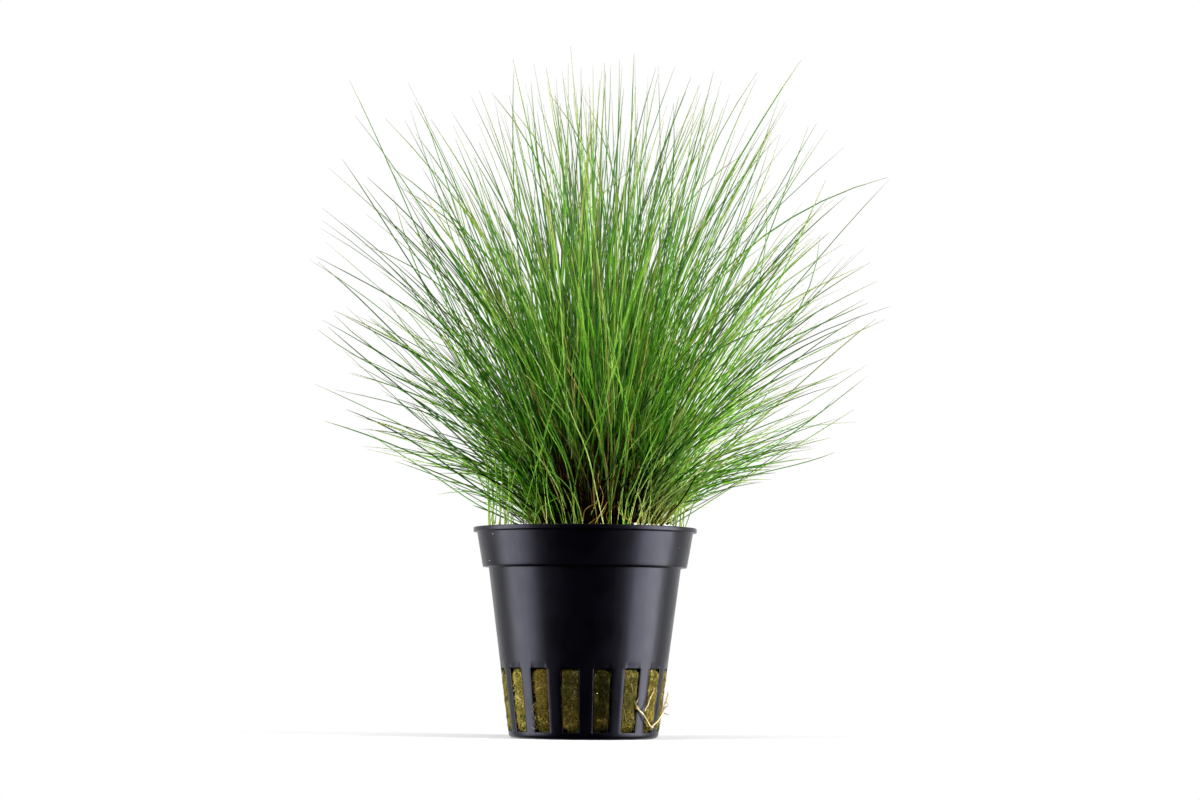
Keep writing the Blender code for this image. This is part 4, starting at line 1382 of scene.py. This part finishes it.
def make_tufts():
    crown = np.array([CROWN_X, 0.0, 0.0])
    steps = 15
    for n, (ring, azimuth, tip_azimuth, reach, height) in enumerate(tuft_plan()):
        rng = np.random.default_rng(500 + n)
        level = 0 if n == 0 else (1 if n < 7 else (2 if n < 19 else 3))
        across, back = math.cos(math.radians(azimuth)), math.sin(math.radians(azimuth))
        if level < 3:
            shape = RINGS[level]
        elif back < -0.6:
            shape = OUTER_FRONT
        elif abs(across) > 0.6:
            shape = OUTER_SIDE
        else:
            shape = OUTER_BACK
        count, lean, lean_spread, fan, size = shape
        tip = crown + polar(reach, tip_azimuth, height)
        if n in SET_TIPS:
            tip = np.array(SET_TIPS[n])
        tip = np.clip(tip, LOW, HIGH)
        top = crown + polar(ring * (0.9 if level < 3 else 0.84), azimuth, PLUG_TOP_Z)
        # feet spread over the wool round the tuft's own foot
        spread = 1.45 if level < 3 else 1.7
        off = rng.normal(0, spread, (count, 2))
        feet = np.concatenate([top[:2] + off, np.full((count, 1), PLUG_TOP_Z - 0.9)], 1)
        way = np.full(count, azimuth) + rng.normal(0, fan, count)
        leans = rng.normal(lean, lean_spread, count)
        wild = rng.random(count) < 0.15
        way[wild] += rng.normal(0, 75.0, wild.sum())
        leans[wild] = np.abs(rng.normal(16.0, 13.0, wild.sum()))
        leans = np.clip(leans, -18.0, 64.0)
        age = np.zeros(count)
        dry = rng.random(count)
        age[dry < 0.034] = 0.5
        age[dry < 0.013] = 1.0
        age[0] = 0.0
        pick = rng.random(count)
        length = np.where(
            pick < 0.26,
            rng.uniform(30.0, 62.0, count),
            np.where(pick < 0.71, rng.uniform(60.0, 92.0, count), rng.uniform(86.0, 117.0, count)),
        )
        length *= size * (1 - 0.26 * smooth_step((leans - 20.0) / 45.0))
        # dry leaves are short and stay among the others
        length = np.where(age > 0, np.minimum(length, rng.uniform(30.0, 66.0, count)), length)
        leans = np.where(age > 0, leans * 0.75, leans)
        tips = feet + compass(leans, way) * length[:, None]
        tips[0] = tip
        # leaves rise more upright than they end
        first = compass(
            leans * rng.uniform(0.1, 0.9, count) + rng.normal(0, 8.0, count),
            way + rng.normal(0, 25.0, count),
        )
        first[0] = compass(lean * 0.8, azimuth)
        paths = leaf_paths(feet, tips, first, 0.45, steps, rng)
        thick = np.clip(rng.normal(0.158, 0.038, count), 0.10, 0.26)
        tone = rng.random(count) ** (1.3 if level < 3 else 1.0)
        # more dark and more bright leaves than middling ones
        tone = tone - 0.09 * np.sin(2 * np.pi * tone)
        pale = rng.random(count) < 0.07
        age = np.where(pale & (age == 0), rng.uniform(0.14, 0.28, count), age)
        if shape is OUTER_SIDE:
            thick *= 0.85
        if shape is OUTER_FRONT:
            thick *= 0.78
            tone = tone**2.2
        paths = kink(paths, [i for i in np.nonzero(age > 0.4)[0] if rng.random() < 0.35], rng)
        # painted crown shade: full in the middle, less on the lit right and left sides; the outer ring gets it only
        # at the front, below
        crown_shade = np.full(count, (1.0, 1.0, 0.1 if across > 0.55 else (0.3 if across < -0.55 else 0.9), 0.0)[level])
        if level == 2 and across > 0.55:
            sheath = rng.uniform(3.0, 16.0, count)
            husk = np.where(rng.random(count) < 0.72, rng.uniform(0.9, 1.0, count), rng.beta(1.2, 2.0, count))
            # painted light: brighter tones on the right, where the right lamp is strongest
            tone = 0.08 + 0.92 * tone**0.62
            thick *= 0.88
        elif level == 3 and across > 0.55:
            # young, pale stems; their brighter tones and lack of crown shade are painted light from the right lamp
            sheath = rng.uniform(4.0, 17.0, count)
            husk = np.where(rng.random(count) < 0.8, rng.uniform(0.9, 1.0, count), rng.beta(1.4, 2.0, count))
            crown_shade[:] = 0.0
            tone = 0.42 + 0.58 * tone**0.55
        elif level == 3 and across < -0.5:
            sheath = rng.uniform(1.0, 9.0, count)
            husk = np.where(rng.random(count) < 0.4, rng.uniform(0.9, 1.0, count), rng.beta(0.9, 2.6, count))
            crown_shade[:] = 0.0
        elif level < 3 and back < -0.3:
            sheath = rng.uniform(13.0, 30.0, count)
            husk = np.clip(rng.beta(0.9, 3.4, count), 0, 0.80)
        elif level < 3:
            sheath = rng.uniform((10.0, 10.0, 6.0)[level], (26.0, 25.0, 21.0)[level], count)
            husk = np.clip(rng.beta(1.1, 3.0, count), 0, 0.80)
            if level == 2 and across < -0.5:
                husk = np.where(rng.random(count) < 0.4, rng.uniform(0.85, 1.0, count), husk)
        elif back < -0.6:
            sheath = rng.uniform(3.0, 18.0, count)
            husk = rng.beta(0.9, 3.0, count)
            crown_shade[:] = 0.9
        else:
            sheath = rng.uniform(0.0, 7.0, count)
            husk = rng.uniform(0.3, 1.0, count)
        # the long leaves of this tuft
        for row in LONG_LEAVES:
            if row[0] != n:
                continue
            foot, bend, end, point, radius, hue, years = row[1:]
            foot = (*foot, PLUG_TOP_Z - 0.9)
            paths = np.concatenate([paths, cubic(foot, bend, end, point, steps)[None]])
            thick, tone, age = np.append(thick, radius), np.append(tone, hue), np.append(age, years)
            # dark sheath and painted crown shade at the foot in the middle of the crown, green down to the wool in
            # front
            base = (18.0, hue * 0.7, 1.0) if n < 19 else (2.0, 0.9, 0.0)
            if 29 < n < 36:
                base = (-5.0, 0.9, 0.5) if radius > 0.142 else (9.0, 0.98, 0.3)
                thick[-1] *= 0.84
            sheath, husk, crown_shade = (np.append(a, b) for a, b in zip((sheath, husk, crown_shade), base))
        for row in FRONT_LEAVES:
            if row[0] != n:
                continue
            radius, hue, years, base, points = row[1:]
            paths = np.concatenate([paths, drawn(points, steps)[None]])
            thick, tone, age = np.append(thick, radius), np.append(tone, hue), np.append(age, years)
            sheath, husk, crown_shade = (np.append(a, b) for a, b in zip((sheath, husk, crown_shade), base))
        if n == 32:
            for radius, years, points in DRY_BITS:
                paths = np.concatenate([paths, drawn(points, steps)[None]])
                thick, tone = np.append(thick, radius * 0.6), np.append(tone, 0.5)
                age = np.append(age, max(years, 0.6))
                sheath, husk, crown_shade = np.append(sheath, 0.0), np.append(husk, 0.5), np.append(crown_shade, 0.0)
        paths = keep_inside(paths)
        # dead sheaths and broken stubs, packed close in the middle of the crown; most are near black, partly painted
        # shade that fills the crown's dark core
        # painted light: fewer dark stubs, and more straw ones, on the right where the right lamp falls
        sunny = level > 1 and across > 0.55
        stubs = (44, 32, 10 if sunny else 17, 4 if sunny else 8)[level]
        feet2 = np.concatenate(
            [top[:2] + rng.normal(0, spread * 1.15, (stubs, 2)), np.full((stubs, 1), 49.1)], 1
        )
        turn = azimuth + rng.normal(0, 50.0, stubs)
        tilt = np.abs(rng.normal(lean * 0.8, 12.0, stubs))
        tall = rng.uniform(5.0, 20.0, stubs) * (1.0 if level < 3 else 0.6)
        some = rng.random(stubs) < 0.14
        tall[some] *= 1.5
        paths2 = leaf_paths(
            feet2,
            feet2 + compass(tilt, turn) * tall[:, None],
            compass(tilt * 0.6, turn + rng.normal(0, 25, stubs)),
            0.5,
            steps,
            rng,
        )
        age2 = np.where(rng.random(stubs) < (0.12 if sunny else 0.03), 0.5, 1.0)
        thick2 = np.where(age2 > 0.7, rng.uniform(0.12, 0.30, stubs), rng.uniform(0.10, 0.18, stubs))
        obj = leaf_piece(
            f"leaves_{n + 1:02d}",
            np.concatenate([paths, paths2]),
            np.concatenate([thick, thick2]),
            np.concatenate([tone, rng.random(stubs)]),
            np.concatenate([age, age2]),
            np.concatenate([sheath, np.zeros(stubs)]),
            np.concatenate([husk, np.zeros(stubs)]),
            np.concatenate([crown_shade, np.full(stubs, 1.0 if level < 3 else 0.6)]),
            LEAF,
            rng,
        )
        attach(obj, "root")
        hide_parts(f"tuft_{n + 1:02d}")


# single leaves among the young shoots, as above
LONG_SHOOTS = (
    (0, (23.5, 4), (24, 4, 56), (26, 3, 62), (28.5, 2, 66), 0.13, 0.6, 0),
    (3, (-24, 0), (-20.5, -1, 65), (-35.5, -2.5, 72), (-43, -4, 82.5), 0.13, 0.5, 0),
    (3, (-21, 2), (-20.5, 1, 63), (-24.5, -1.5, 76), (-23.5, -3, 90), 0.15, 0.6, 0),
    (4, (-22.5, -2), (-22.5, -3, 57), (-22.5, -6, 65.5), (-26.5, -8, 72.5), 0.13, 0.5, 0),
    (4, (-19.5, -8), (-19, -9, 58), (-17, -10.5, 66.5), (-14, -12, 74.5), 0.14, 0.7, 0),
    (7, (23.5, -5), (26.5, -5.5, 56), (27.5, -7, 64.5), (33.5, -8, 70), 0.13, 0.4, 0),
    (7, (21.5, -6), (21.5, -6, 56), (23.5, -8.5, 62.5), (25.5, -10, 69), 0.16, 0.97, 0),
)

# azimuth, height in mm and number of leaves
RIM_SHOOTS = (
    (10.0, 22.0, 6), (70.0, 20.0, 7), (130.0, 24.0, 7), (170.0, 31.0, 8),
    (190.0, 28.0, 9), (230.0, 26.0, 3), (290.0, 17.0, 3), (350.0, 25.0, 6),
)


def make_shoots():
    ring = 22.2
    for i, (azimuth, tall, count) in enumerate(RIM_SHOOTS):
        front = 200 < azimuth < 340
        rng = np.random.default_rng(900 + i + (60 if front else 0))
        out = polar(1.0, azimuth)
        along = -CROWN_X * out[0] + math.sqrt(ring**2 - (CROWN_X * out[1]) ** 2)
        foot = np.array([CROWN_X, 0, 0]) + out * along + [0, 0, PLUG_TOP_Z]
        tip = foot + out * 1.5 + [0, 0, tall]
        feet = foot + np.concatenate(
            [rng.normal(0, 3.4 if front else 2.2, (count, 2)), np.full((count, 1), -0.9)], 1
        )
        # stay clear of the pot's wall
        r = np.hypot(feet[:, 0], feet[:, 1])[:, None]
        feet[:, :2] *= np.minimum(1, 24.2 / r)
        feet[0] = foot - [0, 0, 0.9]
        ways = turned(np.tile(unit(tip - foot), (count, 1)), 0.35 if front else 0.13, rng)
        share = rng.uniform(0.45, 1.0, count)
        tips = feet + ways * (tall * share)[:, None]
        tips[0] = tip
        first = turned(np.tile([0, 0, 1.0], (count, 1)), 0.26, rng)
        paths = leaf_paths(feet, tips, first, 0.5, 13, rng)
        thick, tone = rng.uniform(0.10, 0.17, count), rng.random(count)
        if front:
            thick *= 0.75
            tone *= 0.4
        for row in LONG_SHOOTS:
            if row[0] == i:
                foot, bend, end, point, radius, hue, _ = row[1:]
                foot = (*foot, PLUG_TOP_Z - 0.9)
                paths = np.concatenate([paths, cubic(foot, bend, end, point, 13)[None]])
                thick, tone = np.append(thick, radius), np.append(tone, hue)
        count = len(paths)
        paths = keep_inside(paths)
        obj = leaf_piece(
            f"shoots_{i + 1:02d}",
            paths,
            thick,
            tone,
            np.where((rng.random(count) < 0.10) & (not front), 0.5, 0.0),
            rng.uniform(0.0, 2.5, count) - (5.0 if front else 0.0),
            rng.uniform(0.7, 1.0, count),
            np.zeros(count),
            SHOOT,
            rng,
        )
        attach(obj, "root")
        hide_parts(f"rim_shoot_{i + 1:02d}")


# ================================================================== runner

RUNNER_ROUTE = (
    (39.3, 10.2, 18.85), (39.6, 8.8, 19.3), (41.5, 7.4, 19.75), (46.7, 6.1, 19.7),
    (51.1, 4.6, 19.6), (56.6, 3.1, 19.5), (60.7, 3.8, 19.7), (65.5, 4.5, 19.8),
    (73.2, 6.3, 20.0), (75.5, 7.8, 20.2), (80.5, 9.0, 20.35), (84.0, 10.4, 20.6),
    (86.5, 11.6, 20.7),
)
SIDE_ROOT_ROUTE = (
    (47.8, 7.0, 19.7), (50.3, 8.1, 19.9), (53.1, 10.2, 20.1), (57.0, 11.7, 20.1),
    (60.0, 13.1, 19.6), (61.5, 14.2, 19.4),
)


def wall_point(az, z, r):
    return polar(r, az - 90.0, z)


def make_runner():
    rng = np.random.default_rng(77)
    for name, node, route, thick, shape in (
        ("runner", "runner_stem", RUNNER_ROUTE, 0.2, (0.8, 0.9, 1, 1.1, 1, 1.15, 1, 1, 1.1, 0.9, 1.2, 0.7, 0.5)),
        ("runner_root", "runner_side_root", SIDE_ROOT_ROUTE, 0.13, (1.1, 1, 1, 0.9, 0.8, 0.7)),
    ):
        points = [wall_point(*p) for p in route]
        per = 12
        path = through(points, per)
        t = np.linspace(0, len(points) - 1, len(path))
        radii = thick * np.interp(t, range(len(points)), shape)
        radii *= 1 + 0.10 * np.sin(t * 7.3) + 0.06 * np.sin(t * 17.9 + 1)
        # swollen joints
        for at, size in ((2.0, 0.35), (5.0, 0.35), (8.1, 0.55), (10.0, 0.4)):
            if name == "runner":
                radii *= 1 + size * np.exp(-(((t - at) / 0.16) ** 2))
        verts, quads, tris, uv, which, where = tubes(path[None], radii[None], 12, rng)
        parts = [(verts, quads, tris, uv)]
        if name == "runner":
            # thin split scales that still hold at the joints
            scales = []
            for at in (1.2, 2.05, 4.9, 5.5, 8.15, 8.6, 10.1):
                n = int(at * per)
                way = unit(path[min(n + 4, len(path) - 1)] - path[max(n - 4, 0)])
                out = unit(path[n] * [1, 1, 0])
                for _ in range(2):
                    lift = unit(way * rng.choice([-1, 1]) + out * rng.uniform(0.1, 0.7) + rng.normal(0, 0.25, 3))
                    s = np.linspace(0, 1, 7)[:, None]
                    length = rng.uniform(0.8, 1.9)
                    line = path[n] + out * thick * 0.7 + lift * length * s + out * (s * s) * rng.uniform(-0.2, 0.25)
                    scales.append(line)
            scales = np.array(scales)
            wide = 0.085 * np.array([1.0, 1.3, 1.4, 1.2, 0.9, 0.6, 0.25])
            parts.append(tubes(scales, np.tile(wide, (len(scales), 1)), 5, rng)[:4])
        base, vs, qs, ts, uvq, uvt = 0, [], [], [], [], []
        for v, q, tr, u in parts:
            vs.append(v)
            qs.append(q + base)
            ts.append(tr + base)
            uvq.append(u[: len(q) * 4])
            uvt.append(u[len(q) * 4 :])
            base += len(v)
        obj = mesh_object(
            name,
            np.concatenate(vs) * MM,
            np.concatenate(qs),
            np.concatenate(ts),
            [RUNNER],
        )
        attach(obj, "root")
        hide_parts(node)


# ==================================================================== stage


def make_stage():
    s = Shader("pale_floor")
    s.set(IOR=1.3, Roughness=0.9)
    soft = s.noise(s.place(), 1.3, 2, 0.5)
    s.link(
        s.ramp(soft, [(0.3, (0.84, 0.84, 0.845)), (0.7, (0.87, 0.87, 0.872))]),
        s.bsdf.inputs["Base Color"],
    )
    ring = 96
    a = np.arange(ring) * 2 * np.pi / ring
    verts, quads = [[0, 0, 0]], []
    radii = (0.2, 0.6, 1.5, 4.0)
    for r in radii:
        verts += [[r * math.cos(x), r * math.sin(x), 0.0] for x in a]
    k = np.arange(ring)
    tris = np.stack([np.zeros(ring, int), 1 + k, 1 + (k + 1) % ring], 1)
    for n in range(len(radii) - 1):
        lo, hi = 1 + n * ring, 1 + (n + 1) * ring
        quads.append(np.stack([lo + k, hi + k, hi + (k + 1) % ring, lo + (k + 1) % ring], 1))
    # the floor runs out into the pale room, so there is no horizon
    clear = s.node("ShaderNodeBsdfTransparent")
    blend = s.node("ShaderNodeMixShader")
    reach = s.node("ShaderNodeVectorMath", operation="LENGTH")
    s.link(s.place(), reach.inputs[0])
    fade = s.node("ShaderNodeMapRange", interpolation_type="SMOOTHSTEP")
    fade.inputs["From Min"].default_value = 0.015
    fade.inputs["From Max"].default_value = 0.115
    s.link(reach.outputs["Value"], fade.inputs["Value"])
    s.link(fade.outputs["Result"], blend.inputs[0])
    s.link(s.bsdf.outputs[0], blend.inputs[1])
    s.link(clear.outputs[0], blend.inputs[2])
    s.link(blend.outputs[0], s.tree.nodes["Material Output"].inputs["Surface"])
    floor = mesh_object("floor", np.array(verts), np.concatenate(quads), tris, [s.mat])
    floor.visible_glossy = False
    floor.visible_diffuse = False

    def softbox(name, azimuth, distance, height, wide, tall, radiance, shine=True):
        light = bpy.data.lights.new(name, "AREA")
        light.shape = "RECTANGLE"
        light.size, light.size_y = wide, tall
        light.energy = math.pi * wide * tall * radiance
        obj = bpy.data.objects.new(name, light)
        bpy.context.scene.collection.objects.link(obj)
        a = math.radians(azimuth)
        obj.location = (distance * math.sin(a), -distance * math.cos(a), height)
        aim = Vector((0, 0, height if shine else 0.1)) - obj.location
        obj.rotation_euler = aim.to_track_quat("-Z", "Y").to_euler()
        obj.visible_camera = False
        obj.visible_glossy = shine
        obj.visible_diffuse = not shine
        return obj

    # the upright softboxes make the streaks on the pot, the others light it
    softbox("softbox_left", -85.0, 1.0, 0.28, 0.76, 1.25, 9.4)
    softbox("softbox_right", 83.5, 1.0, 0.28, 0.82, 1.25, 12.6)
    softbox("key_left", -68.0, 0.9, 0.24, 0.36, 0.36, 50.0, False)
    softbox("key_right", 69.0, 0.9, 0.24, 0.36, 0.36, 57.0, False)
    top = bpy.data.lights.new("softbox_top", "AREA")
    top.shape, top.size, top.size_y = "RECTANGLE", 1.0, 0.8
    top.energy = math.pi * 0.8 * 1.2
    obj = bpy.data.objects.new("softbox_top", top)
    bpy.context.scene.collection.objects.link(obj)
    obj.location = (0.0, -0.20, 1.15)
    aim = Vector((0, 0, 0.1)) - obj.location
    obj.rotation_euler = aim.to_track_quat("-Z", "Y").to_euler()
    obj.visible_camera = False

    world = bpy.data.worlds.new("studio")
    bpy.context.scene.world = world
    world.use_nodes = True
    nt = world.node_tree
    nt.nodes.clear()
    out = nt.nodes.new("ShaderNodeOutputWorld")
    where = nt.nodes.new("ShaderNodeTexCoord")
    split = nt.nodes.new("ShaderNodeSeparateXYZ")
    nt.links.new(where.outputs["Generated"], split.inputs[0])
    # the plant sees a dark room in front of it, a pale one behind and overhead
    def band(socket, low, high, to_low, to_high):
        n = nt.nodes.new("ShaderNodeMapRange")
        n.inputs["From Min"].default_value = low
        n.inputs["From Max"].default_value = high
        n.inputs["To Min"].default_value = to_low
        n.inputs["To Max"].default_value = to_high
        nt.links.new(split.outputs[socket], n.inputs["Value"])
        return n.outputs["Result"]

    add = nt.nodes.new("ShaderNodeMath")
    nt.links.new(band("Y", 0.2, 0.95, 0.0, 0.8), add.inputs[0])
    nt.links.new(band("Z", 0.3, 0.95, 0.0, 0.2), add.inputs[1])
    room = nt.nodes.new("ShaderNodeBackground")
    room.inputs["Color"].default_value = (0.97, 0.985, 1.0, 1.0)
    path = nt.nodes.new("ShaderNodeLightPath")
    # and the pot's edges mirror it more strongly than the leaves are lit by it
    gain = nt.nodes.new("ShaderNodeMath")
    gain.operation = "MULTIPLY_ADD"
    gain.inputs[1].default_value, gain.inputs[2].default_value = 0.5, 1.0
    nt.links.new(path.outputs["Is Glossy Ray"], gain.inputs[0])
    strength = nt.nodes.new("ShaderNodeMath")
    strength.operation = "MULTIPLY"
    nt.links.new(add.outputs[0], strength.inputs[0])
    nt.links.new(gain.outputs[0], strength.inputs[1])
    nt.links.new(strength.outputs[0], room.inputs["Strength"])
    white = nt.nodes.new("ShaderNodeBackground")
    white.inputs["Color"].default_value = (1.0, 1.0, 1.0, 1.0)
    white.inputs["Strength"].default_value = 1.0
    pick = nt.nodes.new("ShaderNodeMixShader")
    nt.links.new(path.outputs["Is Camera Ray"], pick.inputs[0])
    nt.links.new(room.outputs[0], pick.inputs[1])
    nt.links.new(white.outputs[0], pick.inputs[2])
    nt.links.new(pick.outputs[0], out.inputs["Surface"])

    scene = bpy.context.scene
    scene.view_settings.view_transform = "Standard"
    scene.view_settings.look = "None"
    scene.view_settings.exposure = 0.0
    scene.view_settings.gamma = 1.0


def make_camera():
    where = Vector((0.0, -0.740, 0.023))
    aim = Vector((0.0034, 0.0, 0.0831))
    ahead = (aim - where).normalized()
    right = ahead.cross(Vector((0, 0, 1))).normalized()
    up = right.cross(ahead)
    roll = math.radians(0.45)
    r = right * math.cos(roll) + up * math.sin(roll)
    u = -right * math.sin(roll) + up * math.cos(roll)
    data = bpy.data.cameras.new("camera")
    data.sensor_width = 36.0
    data.lens = 18.0 / math.tan(math.radians(22.6 / 2))
    data.clip_start, data.clip_end = 0.05, 50.0
    cam = bpy.data.objects.new("camera", data)
    bpy.context.scene.collection.objects.link(cam)
    m = Matrix((r, u, -ahead)).transposed().to_4x4()
    m.translation = where
    cam.matrix_world = m
    bpy.context.scene.camera = cam


make_camera()
make_pot()
make_wool()
make_fibres()
make_grains()
make_tufts()
make_shoots()
make_runner()
make_stage()
